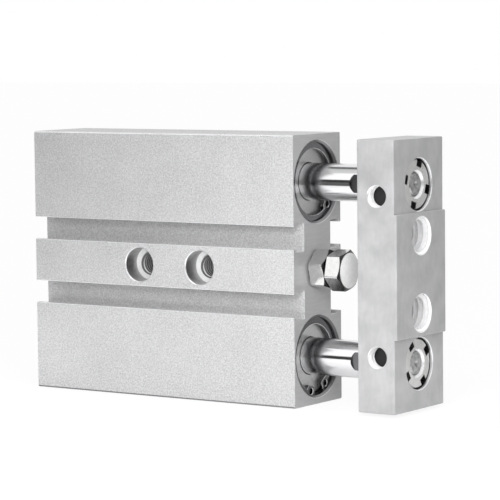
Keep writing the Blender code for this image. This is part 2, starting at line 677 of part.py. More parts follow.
def slotted_nut(name, turn):
    """Round nut with four spanner slots in its rim."""
    thread = flats_at(STUD_RADIUS + FIT_GAP, NUT_SIDES)
    profile = [(0, thread), (0, NUT_RADIUS - NUT_EDGE), (NUT_EDGE, NUT_RADIUS),
               (NUT_THICKNESS - NUT_EDGE, NUT_RADIUS), (NUT_THICKNESS, NUT_RADIUS - NUT_EDGE),
               (NUT_THICKNESS, thread + NUT_THREAD_EDGE), (NUT_THICKNESS - NUT_THREAD_EDGE, thread)]
    nut = piece(name, turned(profile, NUT_SIDES))
    half = NUT_SLOT_WIDTH / 2
    for quarter in range(4):
        place = Matrix.Rotation(math.radians(turn) + quarter * math.pi / 2, 4, "X")
        bar = block((-NUT_EDGE, NUT_RADIUS - NUT_SLOT_DEPTH, -half),
                    (NUT_THICKNESS + NUT_EDGE, NUT_RADIUS + NUT_SLOT_DEPTH, half))
        shape(nut, bar, place=place)
    return nut


def build_yoke(carriage):
    """Plate with a raised pad, nut recesses, stud holes and tapped holes."""
    top = YOKE_HEIGHT / 2
    side = [(YOKE_THICKNESS + PAD_RISE, PAD_HALF), (YOKE_THICKNESS, PAD_HALF),
            (YOKE_THICKNESS, top), (0, top)]
    mirrored = [(x, -z) for x, z in reversed(side)]
    outline = [(x, -YOKE_DEPTH / 2, z) for x, z in side + mirrored]
    yoke = piece("yoke_plate", swept(outline, (0, YOKE_DEPTH, 0)))
    bm = bmesh.new()
    bm.from_mesh(yoke.data)
    outer_edges = [edge for edge in bm.edges if edge.is_convex]
    bmesh.ops.bevel(bm, geom=outer_edges, offset=YOKE_EDGE, segments=1, affect="EDGES")
    yoke.data = mesh_from(bm, "yoke_plate")
    recess_floor = YOKE_THICKNESS - NUT_RECESS_DEPTH
    stud_hole = STUD_RADIUS + FIT_GAP
    seat = [(-YOKE_EDGE, 0), (-YOKE_EDGE, stud_hole), (recess_floor, stud_hole),
            (recess_floor, NUT_RECESS_RADIUS),
            (YOKE_THICKNESS - RECESS_CHAMFER, NUT_RECESS_RADIUS),
            (YOKE_THICKNESS + RECESS_CHAMFER, NUT_RECESS_RADIUS + 2 * RECESS_CHAMFER),
            (YOKE_THICKNESS + RECESS_CHAMFER, 0)]
    pad_x = YOKE_THICKNESS + PAD_RISE
    wide = PAD_CORE_RADIUS + 2 * PAD_HOLE_CHAMFER
    pad_hole = [(-PAD_HOLE_CHAMFER, 0), (-PAD_HOLE_CHAMFER, wide),
                (PAD_HOLE_CHAMFER, PAD_CORE_RADIUS), (pad_x - PAD_HOLE_CHAMFER, PAD_CORE_RADIUS),
                (pad_x + PAD_HOLE_CHAMFER, wide), (pad_x + PAD_HOLE_CHAMFER, 0)]
    side_tip = SIDE_CORE_RADIUS * math.tan(math.radians(DRILL_TIP_ANGLE))
    side_depth = YOKE_DEPTH / 2 - NUT_RECESS_RADIUS - SIDE_HOLE_WALL - side_tip
    for _, sign in SIDES:
        shape(yoke, bored(seat, RECESS_SIDES), place=Matrix.Translation((0, 0, sign * AXIS_OFFSET)))
        shape(yoke, bored(pad_hole, HOLE_SIDES),
              place=Matrix.Translation((0, 0, sign * PAD_HOLE_OFFSET)))
        side_z = sign * (AXIS_OFFSET - SIDE_HOLE_SHIFT)
        shape(yoke, blind_hole(SIDE_CORE_RADIUS, side_depth, SIDE_HOLE_CHAMFER, SMALL_SIDES),
              place=along_y(pad_x / 2, -YOKE_DEPTH / 2, side_z, -1))
    settle(yoke, "milled", (YOKE_X, 0, MID_Z), carriage)


def hexagon(name, thickness, turned_back):
    """Hexagon block from x = 0, its corners turned down in front and, if asked, behind."""
    corner = HEX_FLATS / math.sqrt(3)
    outline = []
    for index in range(6):
        angle = math.radians(60 * index + HEX_TURN)
        outline.append((0, corner * math.sin(angle), corner * math.cos(angle)))
    made = piece(name, swept(outline, (thickness, 0, 0)))
    slope = math.tan(math.radians(HEX_CHAMFER_ANGLE))
    reach = FACE_GAP / slope
    wide = corner + reach
    drop = (corner - HEX_FACE_RADIUS) * slope
    front = [(thickness - drop - FACE_GAP, wide), (thickness + FACE_GAP, HEX_FACE_RADIUS - reach),
             (thickness + FACE_GAP, 0)]
    if turned_back:
        back = [(-FACE_GAP, 0), (-FACE_GAP, HEX_FACE_RADIUS - reach), (drop + FACE_GAP, wide)]
    else:
        back = [(-FACE_GAP, 0), (-FACE_GAP, wide)]
    shape(made, turned(back + front, NUT_SIDES), "INTERSECT")
    return made


def build_stop(stop_slide, nut_pivot):
    """Stop screw with a domed head, and the nut that locks it on the barrel's end face."""
    nut_start = FRONT_X + FACE_GAP
    nut = hexagon("stop_lock_nut", LOCK_NUT_THICKNESS, True)
    hole = STOP_RADIUS + FIT_GAP
    flare = hole + STOP_MOUTH_CHAMFER
    thread = [(-FACE_GAP, 0), (-FACE_GAP, flare + FACE_GAP), (STOP_MOUTH_CHAMFER, hole),
              (LOCK_NUT_THICKNESS - STOP_MOUTH_CHAMFER, hole),
              (LOCK_NUT_THICKNESS + FACE_GAP, flare + FACE_GAP), (LOCK_NUT_THICKNESS + FACE_GAP, 0)]
    shape(nut, bored(thread, HOLE_SIDES))
    settle(nut, "bright_steel", (nut_start, 0, MID_Z), nut_pivot)

    head_start = nut_start + LOCK_NUT_THICKNESS + FACE_GAP
    screw = hexagon("stop_screw", STOP_HEAD_THICKNESS, False)
    shank = head_start - FRONT_X + STOP_HOLE_DEPTH - STOP_TIP_GAP
    core = [(-shank, 0), (-shank, STOP_RADIUS - STUD_EDGE), (-shank + STUD_EDGE, STOP_RADIUS),
            (STOP_HEAD_THICKNESS / 2, STOP_RADIUS), (STOP_HEAD_THICKNESS / 2, 0)]
    shape(screw, turned(core, HOLE_SIDES), "UNION")
    sphere = (DOME_RADIUS ** 2 + DOME_RISE ** 2) / (2 * DOME_RISE)
    dome = [(STOP_HEAD_THICKNESS / 2, 0), (STOP_HEAD_THICKNESS / 2, DOME_RADIUS)]
    for step in range(DOME_STEPS + 1):
        radius = DOME_RADIUS * (1 - step / DOME_STEPS)
        rise = math.sqrt(sphere ** 2 - radius ** 2) - (sphere - DOME_RISE)
        dome.append((STOP_HEAD_THICKNESS + rise, radius))
    shape(screw, turned(dome, HOLE_SIDES), "UNION")
    settle(screw, "bright_steel", (head_start, 0, MID_Z), stop_slide)


def build_front_end(side, z):
    """Bearing cap and what it holds, locked by a retaining ring."""
    place = (FRONT_X - CAP_SETBACK, 0, z)
    settle(bearing_cap(side + "_bearing_cap"), "cap", place)
    settle(rod_seal(side + "_rod_seal"), "rubber", place)
    settle(bearing_bush(side + "_bearing_bush"), "bronze", place)
    settle(cap_o_ring(side + "_front_o_ring", FRONT_GROOVE_SETBACK, -1), "rubber", place)
    hole = ROD_RADIUS + CUSHION_HOLE_GAP
    settle(cushion(side + "_front_cushion", CAP_LENGTH, hole, -1), "cushion", place)
    ring = retaining_ring(side + "_front_retaining_ring", RING_TURNS[side])
    settle(ring, "dark_steel", (FRONT_X - RING_SETBACK - RING_THICKNESS, 0, z))


def build_rear_end(side, z):
    """Blind cap with its sealing ring and cushion, locked by a retaining ring."""
    place = (REAR_X + CAP_SETBACK, 0, z)
    settle(rear_cap(side + "_rear_cap"), "cap", place)
    settle(cap_o_ring(side + "_rear_o_ring", REAR_GROOVE_SETBACK, 1), "rubber", place)
    settle(cushion(side + "_rear_cushion", REAR_CAP_LENGTH, REAR_CUSHION_HOLE, 1), "cushion", place)
    ring = retaining_ring(side + "_rear_retaining_ring", RING_TURNS[side])
    settle(ring, "dark_steel", (REAR_X + RING_SETBACK, 0, z))


def build_piston_and_rod(side, z, carriage):
    """Piston with seals, magnet and guide ring, its rod, and the nut at the yoke."""
    place = (PISTON_X, 0, z)
    settle(piston(side + "_piston"), "milled", place, carriage)
    for name, start, width, depth in piston_grooves():
        floor = PISTON_RADIUS - depth + FIT_GAP
        if name == "magnet":
            ring = groove_ring(side + "_magnet_ring", start, width, floor, PISTON_RADIUS - MAGNET_SINK)
            settle(ring, "magnet", place, carriage)
        elif name == "guide":
            ring = groove_ring(side + "_guide_ring", start, width, floor, BORE_RADIUS - FIT_GAP)
            settle(ring, "guide", place, carriage)
        else:
            facing = 1 if name == "front_seal" else -1
            seal = lip_seal(side + "_piston_" + name, start, facing)
            settle(seal, "rubber", place, carriage)
    settle(piston_rod(side + "_piston_rod"), "chrome", (YOKE_X - FACE_GAP, 0, z), carriage)
    nut_x = YOKE_X + YOKE_THICKNESS - NUT_SINK - NUT_THICKNESS
    nut = slotted_nut(side + "_slotted_nut", NUT_TURNS[side])
    settle(nut, "bright_steel", (nut_x, 0, z), carriage)


def main():
    clear_scene()
    carriage = guide_empty("carriage", (YOKE_X, 0, MID_Z))
    stop_slide = guide_empty("stop_slide", (FRONT_X, 0, MID_Z))
    nut_pivot = guide_empty("nut_pivot", (FRONT_X, 0, MID_Z))
    build_barrel()
    for side, sign in SIDES:
        z = MID_Z + sign * AXIS_OFFSET
        build_front_end(side, z)
        build_rear_end(side, z)
        build_piston_and_rod(side, z, carriage)
    build_yoke(carriage)
    build_stop(stop_slide, nut_pivot)


main()
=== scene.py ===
"""Looks of a double piston cylinder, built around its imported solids.

Lengths are in metres, in the part's own frame: +X is the way the rods travel out,
+Z runs across the two rods, and the floor is at z = 0.
"""

import math
from collections import namedtuple

import bmesh
import bpy
from mathutils import Matrix, Vector


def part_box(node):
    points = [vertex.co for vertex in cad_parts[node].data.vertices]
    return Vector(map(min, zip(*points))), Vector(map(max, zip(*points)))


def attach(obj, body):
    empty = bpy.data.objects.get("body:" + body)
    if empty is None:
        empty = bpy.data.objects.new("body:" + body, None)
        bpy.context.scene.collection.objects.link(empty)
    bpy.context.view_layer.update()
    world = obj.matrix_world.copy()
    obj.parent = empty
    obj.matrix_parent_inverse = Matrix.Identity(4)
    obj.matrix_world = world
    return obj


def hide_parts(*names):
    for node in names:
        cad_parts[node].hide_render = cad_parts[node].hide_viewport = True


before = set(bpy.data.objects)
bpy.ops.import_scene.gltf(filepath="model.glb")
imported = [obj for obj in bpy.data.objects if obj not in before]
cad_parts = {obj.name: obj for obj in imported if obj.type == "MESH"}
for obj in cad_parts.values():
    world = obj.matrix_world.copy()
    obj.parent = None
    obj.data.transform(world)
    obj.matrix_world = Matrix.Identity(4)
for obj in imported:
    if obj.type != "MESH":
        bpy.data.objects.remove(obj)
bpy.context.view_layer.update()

# Camera, at the photograph's viewing angle
CAMERA_AZIMUTH = math.radians(34.196)
CAMERA_ELEVATION = math.radians(4.864)
CAMERA_ROLL = math.radians(-0.596)
CAMERA_DISTANCE = 0.5509
CAMERA_TARGET = Vector((0.01736, 0.0, 0.03241))
SENSOR_WIDTH = 36.0
FOCAL_PIXELS = 2530.9
PHOTO_PIXELS = 500
CLIP_NEAR = 0.01
CLIP_FAR = 20.0

# Direction in which the camera looks
AWAY = -Vector((math.sin(CAMERA_AZIMUTH) * math.cos(CAMERA_ELEVATION),
                -math.cos(CAMERA_AZIMUTH) * math.cos(CAMERA_ELEVATION),
                math.sin(CAMERA_ELEVATION)))

# Studio: grey by pitch round the X axis, in degrees from -Y over the top, for directions to
# the left, straight ahead and to the right. The rods and hexagons mirror the strip on the left.
LEFT_LIGHT = ((-180, 1.0), (-140, 1.0), (-100, 0.3), (15, 0.03), (18, 1.3), (57, 1.3), (63, 0.8),
              (90, 0.7), (95, 0.15), (108, 0.15), (114, 1.0), (180, 1.0))
OPEN_LIGHT = ((-180, 0.9), (-140, 0.9), (-30, 0.1), (30, 0.15), (60, 1.6), (120, 1.6), (150, 0.9),
              (180, 0.9))
RIGHT_LIGHT = ((-180, 0.12), (-100, 0.1), (0, 0.15), (15, 0.9), (55, 0.9), (120, 0.8), (150, 0.12),
               (180, 0.12))

# X of a unit direction, where the left part starts to fade out and the right part to fade in
STRIP_EDGE = -0.3
RIGHT_EDGE = 0.25
SIDE_BLEND = 0.15

# Cosine of a direction's angle to the view, where the backdrop starts and where it is full
BACKDROP_START = 0.75
BACKDROP_FULL = 0.85

# Table: its dark and pale parts are one grey, less and more by a share of it
FLOOR_REACH = 3.0
TABLE_CENTRE = (0.01, -0.02, 0.0)
TABLE_RADIUS = 0.15
TABLE_FADE = 0.02
TABLE_GREY = 0.46
TABLE_SPREAD = 0.86
TABLE_ROUGHNESS = 0.8
TABLE_GLOW = 0.9

# Lamps: name, place, width, height and power in watts
LAMPS = (("key", (0.10, -0.12, 0.08), 0.08, 0.08, 0.25),
         ("fill", (-0.02, -0.045, 0.008), 0.08, 0.01, 0.005))

# Clearances, and how far the stop hole's cutter reaches out of the barrel
FIT_GAP = 0.00005
FACE_GAP = 0.0001
CUT_OVERSHOOT = 0.001

# Barrel profile
BAR_HALF = 0.00475
SLOT_MOUTH = 0.0049
SLOT_DEPTH = 0.0041
SLOT_LIP = 0.0008
SLOT_UNDERCUT = 0.0006
LONG_EDGE_RADIUS = 0.00035
SLOT_EDGE_RADIUS = 0.00015
END_EDGE = 0.00008

# Bores, caps and retaining rings
BORE_RADIUS = 0.008
SEAT_RADIUS = 0.0085
MOUTH_RADIUS = 0.009
MOUTH_RIM = 0.0001
RING_SETBACK = 0.001
RING_THICKNESS = 0.001
RING_GROOVE_DEPTH = 0.0004
CAP_LENGTH = 0.0099
REAR_CAP_LENGTH = 0.004
CAP_EDGE = 0.0003
CAP_RADIUS = SEAT_RADIUS - FIT_GAP
CAP_GROOVE_WIDTH = 0.0019
CAP_GROOVE_DEPTH = 0.0012
CAP_GROOVE_RADIUS = CAP_RADIUS - CAP_GROOVE_DEPTH
FRONT_GROOVE_SETBACK = 0.0056
REAR_GROOVE_SETBACK = 0.0011
NOSE_LENGTH = 0.0022
NOSE_RADIUS = 0.0066
CUSHION_SEAT_RADIUS = 0.006
CUSHION_SINK = 0.001
CAP_WALL = 0.001
WIPER_GAP = 0.0003
WIPER_LIP = 0.0004
WIPER_SLIT = 0.00015
ROD_SEAL_WIDTH = 0.0032
ROD_SEAL_DEPTH = 0.0021
ROD_SEAL_LAND = 0.0007
BUSH_SEAT_RADIUS = 0.00505
DISH_RADIUS = 0.0045
DISH_DEPTH = 0.0004

# Retaining ring, in degrees from the middle of its gap
RING_GAP_ANGLE = 12.0
RING_LUG_ANGLE = 34.0
RING_HOLE_ANGLE = 22.0
RING_TURNS = {"upper": -20.0, "lower": -78.0}
RING_LUG_DEPTH = 0.0023
RING_LUG_ROUND = 0.0006
RING_THIN = 0.0014
RING_THICK = 0.002
RING_HOLE_RADIUS = 0.0007
RING_HOLE_DEPTH = 0.0012
RING_EDGE = 0.00012
RING_EDGE_SLOPE = 0.3

# Fixing holes, ports and stop hole of the barrel
HEAD_RADIUS = 0.0037
HEAD_DEPTH = 0.0041
HEAD_FLOOR_FALL = 0.0003
HEAD_RIM_CHAMFER = 0.00018
FIXING_HOLES = 2
HOLE_SETBACK = 0.02445
HOLE_PITCH = 0.01615
PORT_SETBACK = 0.0131
REAR_PORT_SETBACK = 0.0072
PORT_DEPTH = 0.006
DRILL_RADIUS = 0.0006
STOP_HOLE_DEPTH = 0.0102

# Threads, with the ends of the inner flat, the first flank and the outer flat as shares of a pitch
Thread = namedtuple("Thread", "core outer pitch")
M5 = Thread(0.0021, 0.0025, 0.0008)
M8 = Thread(0.0034, 0.004, 0.00125)
THREAD_RIM = 0.00012
INNER_FLAT = 0.25
FLANK = 0.56
OUTER_FLAT = 0.69
SPARE_TURNS = 3

# Rod
ROD_EDGE = 0.0003
FLAT_DEPTH = 0.0005
FLAT_LENGTH = 0.0055
MILL_RADIUS = 0.0026
STUD_RADIUS = 0.0025
STUD_EDGE = 0.00035
CENTRE_DRILL_RADIUS = 0.0007
CENTRE_DRILL_DEPTH = 0.0008
SPIGOT_LENGTH = 0.014
SPIGOT_EDGE = 0.0004

# Yoke plate
PAD_RISE = 0.0006
YOKE_EDGE = 0.0003
PAD_CLEAR = 0.00025
PAD_HOLE_WALL = 0.00175
NUT_GAP = 0.0002
NUT_SINK = 0.00035
RECESS_CHAMFER = 0.00015
SIDE_HOLE_SHIFT = 0.00205
SIDE_HOLE_DEPTH = 0.003
SIDE_MOUTH = 0.0022
SIDE_LIP = 0.00015

# Slotted nut
NUT_THICKNESS = 0.004
NUT_FACE_SINK = 0.0002
NUT_EDGE = 0.0003
NUT_THREAD_EDGE = 0.0005
NUT_SLOTS = 4
NUT_SLOT_WIDTH = 0.002
NUT_SLOT_DEPTH = 0.0016
NUT_TURNS = {"upper": -16.0, "lower": 32.0}

# Stop screw and lock nut
HEX_FLATS = 0.008
HEX_FACE_RADIUS = 0.0038
HEX_CHAMFER_ANGLE = 30.0
WASHER_FACE = 0.00028
STOP_HEAD_TURN = 14.7
LOCK_NUT_TURN = 46.0
HEX_EDGE = 0.00025
LOCK_NUT_THICKNESS = 0.004
STOP_HEAD_THICKNESS = 0.0038
STOP_MOUTH_CHAMFER = 0.0003
DOME_RADIUS = 0.0037
DOME_RISE = 0.0006

# How finely round shapes are drawn
BORE_SIDES = 128
HOLE_SIDES = 96
RING_HOLE_SIDES = 32
THREAD_SIDES = 48
RING_OUTER_STEPS = 100
RING_INNER_STEPS = 72
MILL_STEPS = 32
DOME_STEPS = 16
CORNER_STEPS = 6
EDGE_STEPS = 3
HEX_EDGE_STEPS = 5
MERGE_DISTANCE = 0.0000005
SMOOTH_ANGLE = 24.0

# Share of a unit normal along an axis, above which a face counts as square to it
SQUARE = 0.999

# Finishes: the part of a noise's range that is used, and a wave texture's rings per metre at scale 1
NOISE_LOW = 0.32
NOISE_HIGH = 0.68
WAVE_RINGS = 20.0 / math.tau

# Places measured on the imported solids
BARREL_LOW, BARREL_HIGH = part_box("barrel")
YOKE_LOW, YOKE_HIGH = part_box("yoke_plate")
MID_Z = (BARREL_LOW.z + BARREL_HIGH.z) / 2
REAR_X = BARREL_LOW.x
FRONT_X = BARREL_HIGH.x
HALF_DEPTH = (BARREL_HIGH.y - BARREL_LOW.y) / 2
HALF_HEIGHT = (BARREL_HIGH.z - BARREL_LOW.z) / 2
SHOULDER_X = YOKE_LOW.x - FACE_GAP
YOKE_DEPTH = YOKE_HIGH.y - YOKE_LOW.y
YOKE_THICKNESS = YOKE_HIGH.x - YOKE_LOW.x - PAD_RISE
SIDES = ("upper", "lower")


def axis_z(side):
    """Height of a rod's axis."""
    low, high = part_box(side + "_piston_rod")
    return (low.z + high.z) / 2


AXIS_OFFSET = axis_z("upper") - MID_Z
ROD_LOW, ROD_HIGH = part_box("upper_piston_rod")
ROD_RADIUS = (ROD_HIGH.z - ROD_LOW.z) / 2
STUD_END = ROD_HIGH.x
NUT_LOW, NUT_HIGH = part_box("upper_slotted_nut")
NUT_RADIUS = (NUT_HIGH.z - NUT_LOW.z) / 2
STOP_LOW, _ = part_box("stop_screw")
LOCK_LOW, LOCK_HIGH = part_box("stop_lock_nut")


# Materials

def ranged(nodes, links, factor, low, high, start=0.0, end=1.0):
    """Factor mapped to a range."""
    mapped = nodes.new("ShaderNodeMapRange")
    mapped.inputs["From Min"].default_value = start
    mapped.inputs["From Max"].default_value = end
    mapped.inputs["To Min"].default_value = low
    mapped.inputs["To Max"].default_value = high
    links.new(factor, mapped.inputs["Value"])
    return mapped.outputs["Result"]


def noise(nodes, links, place, scale, detail=2.0):
    """Noise between 0 and 1 from a coordinate socket."""
    texture = nodes.new("ShaderNodeTexNoise")
    texture.inputs["Scale"].default_value = scale
    texture.inputs["Detail"].default_value = detail
    links.new(place, texture.inputs["Vector"])
    return ranged(nodes, links, texture.outputs["Fac"], 0.0, 1.0, NOISE_LOW, NOISE_HIGH)


def shaded(nodes, links, colour, factor, spread):
    """Colour made darker and lighter by a factor between 0 and 1."""
    mix = nodes.new("ShaderNodeMix")
    mix.data_type = "RGBA"
    mix.inputs["A"].default_value = (*[value * (1 - spread) for value in colour], 1.0)
    mix.inputs["B"].default_value = (*[min(1.0, value * (1 + spread)) for value in colour], 1.0)
    links.new(factor, mix.inputs["Factor"])
    return mix.outputs["Result"]


def finish(name, colour, roughness, metallic=1.0, speckle=2200.0, spread=0.04, relief=0.0,
           stretch=(1.0, 1.0, 1.0), cloud=90.0, cloudiness=0.03, wander=0.04):
    """Procedural finish: fine speckle in colour and relief, over broad soft clouds."""
    material = bpy.data.materials.new(name)
    material.use_nodes = True
    nodes = material.node_tree.nodes
    links = material.node_tree.links
    shader = nodes["Principled BSDF"]
    shader.inputs["Metallic"].default_value = metallic
    place = nodes.new("ShaderNodeTexCoord").outputs["Object"]
    mapping = nodes.new("ShaderNodeMapping")
    mapping.inputs["Scale"].default_value = stretch
    links.new(place, mapping.inputs["Vector"])
    fine = noise(nodes, links, mapping.outputs["Vector"], speckle)
    broad = noise(nodes, links, place, cloud, detail=4.0)
    tone = nodes.new("ShaderNodeMath")
    tone.operation = "MULTIPLY_ADD"
    tone.inputs[1].default_value = spread / (spread + cloudiness)
    links.new(fine, tone.inputs[0])
    links.new(ranged(nodes, links, broad, 0.0, cloudiness / (spread + cloudiness)), tone.inputs[2])
    links.new(shaded(nodes, links, colour, tone.outputs["Value"], spread + cloudiness),
              shader.inputs["Base Color"])
    links.new(ranged(nodes, links, broad, roughness - wander, roughness + wander),
              shader.inputs["Roughness"])
    if relief > 0:
        bump = nodes.new("ShaderNodeBump")
        bump.inputs["Distance"].default_value = relief
        links.new(fine, bump.inputs["Height"])
        links.new(bump.outputs["Normal"], shader.inputs["Normal"])
    return material


def turned_finish(name, colour, roughness, metallic=1.0, pitch=0.00022, relief=0.000006, spread=0.05):
    """Finish with fine concentric turning marks round the piece's own X axis."""
    material = finish(name, colour, roughness, metallic, spread=spread)
    nodes = material.node_tree.nodes
    links = material.node_tree.links
    place = nodes.new("ShaderNodeTexCoord").outputs["Object"]
    wave = nodes.new("ShaderNodeTexWave")
    wave.wave_type = "RINGS"
    wave.rings_direction = "X"
    wave.inputs["Scale"].default_value = 1.0 / (WAVE_RINGS * pitch)
    wave.inputs["Distortion"].default_value = 0.4
    wave.inputs["Detail"].default_value = 1.0
    links.new(place, wave.inputs["Vector"])
    bump = nodes.new("ShaderNodeBump")
    bump.inputs["Distance"].default_value = relief
    links.new(wave.outputs["Fac"], bump.inputs["Height"])
    links.new(bump.outputs["Normal"], nodes["Principled BSDF"].inputs["Normal"])
    return material


def ground_finish(name, colour, roughness):
    """Finish ground round the X axis, which blurs what it mirrors along the axis."""
    material = finish(name, colour, roughness, speckle=400.0, spread=0.005, cloudiness=0.005, wander=0.015)
    nodes = material.node_tree.nodes
    shader = nodes["Principled BSDF"]
    shader.inputs["Anisotropic"].default_value = 0.85
    shader.inputs["Anisotropic Rotation"].default_value = 0.25
    tangent = nodes.new("ShaderNodeTangent")
    tangent.direction_type = "RADIAL"
    tangent.axis = "X"
    material.node_tree.links.new(tangent.outputs["Tangent"], shader.inputs["Tangent"])
    return material


BLASTED = finish("blasted_anodised", (0.5, 0.5, 0.505), 0.48, metallic=0.35, speckle=3200.0,
                 spread=0.2, relief=0.00003)
END_FACE = finish("sawn_anodised", (0.42, 0.42, 0.425), 0.4, metallic=0.4, speckle=1500.0, spread=0.04,
                  relief=0.00001, stretch=(1.0, 0.15, 1.0))
MACHINED = finish("machined_aluminium", (0.62, 0.62, 0.63), 0.28, speckle=1500.0, relief=0.000004)
# Painted shade: a darker grey for the counterbores' walls
DRILLED_SHADE = finish("drilled_aluminium_painted_shade", (0.45, 0.45, 0.45), 0.4, speckle=1500.0, relief=0.000004)
# Painted shade: near black for the floors of holes and recesses
HOLE_END_SHADE = finish("deep_hole_end_painted_shade", (0.03, 0.03, 0.03), 0.5, metallic=0.2, speckle=1500.0)
# Painted shade: a dark grey for the walls of the bores and of the nuts' recesses, and for the barrel's
# edges along the floor
PAINTED_SHADE = finish("aluminium_painted_shade", (0.26, 0.26, 0.265), 0.3, speckle=1500.0, relief=0.000004)
MILLED = finish("milled_anodised", (0.42, 0.42, 0.425), 0.4, metallic=0.4, speckle=1300.0, spread=0.03,
                relief=0.00001, stretch=(1.0, 1.0, 0.3), cloud=240.0, cloudiness=0.1)
# Painted highlight: a pale finish for rounded edges, chamfers and the lips of holes and recesses
EDGE = finish("edge_painted_highlight", (0.85, 0.85, 0.86), 0.3, metallic=0.8, speckle=1800.0, relief=0.00001)
# Threads: the crest finishes are painted highlights, paler than the metal they are cut in, and the root
# finishes are darker copies of them, painted shade
HOLE_HIGHLIGHT = finish("crest_painted_highlight", (0.9, 0.9, 0.905), 0.36, metallic=0.3, speckle=1500.0)
THREAD_SHADE = finish("root_painted_shade", (0.74, 0.74, 0.745), 0.4, metallic=0.4, speckle=1500.0)
FINE_THREAD_HIGHLIGHT = finish("fine_crest_painted_highlight", (0.85, 0.85, 0.855), 0.34, metallic=0.5, speckle=1500.0)
FINE_THREAD_SHADE = finish("fine_root_painted_shade", (0.17, 0.17, 0.17), 0.4, metallic=0.5, speckle=1500.0)
CAP = turned_finish("turned_cap", (0.66, 0.66, 0.66), 0.42)
RING = finish("oiled_spring_steel", (0.14, 0.14, 0.145), 0.2, spread=0.15)
# Painted highlight for the rings' inner edges and the flares of their holes
RING_HIGHLIGHT = finish("spring_steel_painted_highlight", (0.7, 0.7, 0.71), 0.3, speckle=1800.0, spread=0.1)
CUT_STEEL = finish("cut_steel", (0.42, 0.42, 0.42), 0.4, speckle=1100.0, spread=0.3, relief=0.00001)
CHROME = ground_finish("hard_chrome", (0.8, 0.8, 0.81), 0.15)
WRENCH_FLAT = finish("milled_chrome", (0.2, 0.2, 0.205), 0.32, speckle=1800.0, relief=0.000004)
BRIGHT = finish("bright_zinc", (0.74, 0.738, 0.73), 0.14, speckle=900.0, relief=0.000003)
FORGED = finish("forged_zinc", (0.78, 0.78, 0.775), 0.42, metallic=0.15, speckle=1400.0, relief=0.000006)
# Painted shade: near black for the hexagons' front chamfers and washer faces, where they meet the next part
CHAMFER = finish("hex_chamfer_painted_shade", (0.09, 0.09, 0.09), 0.25, speckle=1400.0)
NUT_FACE = turned_finish("turned_steel", (0.66, 0.66, 0.65), 0.3)
RUBBER = finish("seal_rubber", (0.018, 0.018, 0.018), 0.6, metallic=0.0, spread=0.2)
CUSHION = finish("cushion_rubber", (0.36, 0.07, 0.04), 0.55, metallic=0.0, spread=0.12)
BRONZE = finish("bearing_bronze", (0.5, 0.32, 0.15), 0.4, spread=0.12)
MAGNET = finish("bonded_magnet", (0.035, 0.035, 0.04), 0.5, metallic=0.1, spread=0.2)
GUIDE = finish("guide_plastic", (0.5, 0.46, 0.36), 0.5, metallic=0.0, spread=0.08)


# Shape tools

def mesh_from(bm, *materials):
    """Mesh with outward faces from a bmesh, which is freed."""
    bmesh.ops.recalc_face_normals(bm, faces=bm.faces)
    mesh = bpy.data.meshes.new("shape")
    bm.to_mesh(mesh)
    bm.free()
    for material in materials:
        mesh.materials.append(material)
    return mesh


def turned(profile, material, sides=HOLE_SIDES):
    """Solid of revolution about X from (distance, radius) points round its section. A point
    may add another finish, for the band that ends there."""
    bm = bmesh.new()
    materials = [material]
    rows = []
    for distance, radius, *_ in profile:
        row = []
        for step in range(sides if radius else 1):
            angle = math.tau * step / sides
            row.append(bm.verts.new((distance, radius * math.sin(angle), radius * math.cos(angle))))
        rows.append(row)
    for index, point in enumerate(profile):
        band = point[2] if len(point) > 2 else material
        if band not in materials:
            materials.append(band)
        before = rows[index - 1]
        after = rows[index]
        for step in range(sides):
            corners = []
            for row, place in ((before, step), (before, step + 1), (after, step + 1), (after, step)):
                corner = row[place % len(row)]
                if corner not in corners:
                    corners.append(corner)
            if len(corners) > 2:
                bm.faces.new(corners).material_index = materials.index(band)
    return mesh_from(bm, *materials)


def swept(outline, travel, material, edge=0.0):
    """Flat outline of 3-D points moved along a vector, the edges of both end faces softened."""
    bm = bmesh.new()
    base = bm.faces.new([bm.verts.new(point) for point in outline])
    grown = bmesh.ops.extrude_face_region(bm, geom=[base])
    moved = [item for item in grown["geom"] if isinstance(item, bmesh.types.BMVert)]
    cap = [item for item in grown["geom"] if isinstance(item, bmesh.types.BMFace)]
    bmesh.ops.translate(bm, vec=travel, verts=moved)
    if edge > 0:
        rims = list(base.edges) + list(cap[0].edges)
        bmesh.ops.bevel(bm, geom=rims, offset=edge, segments=EDGE_STEPS, profile=0.5, affect="EDGES")
    return mesh_from(bm, material)


def rounded(corners):
    """Flat outline through (a, b, radius) corners, each radius drawn as an arc."""
    outline = []
    for index, (a, b, radius) in enumerate(corners):
        corner = Vector((a, b))
        if radius == 0:
            outline.append(corner)
            continue
        before = (Vector(corners[index - 1][:2]) - corner).normalized()
        after = (Vector(corners[(index + 1) % len(corners)][:2]) - corner).normalized()
        half = before.angle(after) / 2
        centre = corner + (before + after).normalized() * radius / math.sin(half)
        start = corner + before * radius / math.tan(half) - centre
        end = corner + after * radius / math.tan(half) - centre
        sweep = start.angle(end)
        for step in range(CORNER_STEPS + 1):
            share = step / CORNER_STEPS
            spoke = start * math.sin((1 - share) * sweep) + end * math.sin(share * sweep)
            outline.append(centre + spoke / math.sin(sweep))
    return outline


def thread_room(sizes):
    """Radius of a hole that takes the shell of an inner thread."""
    return sizes.outer + THREAD_RIM


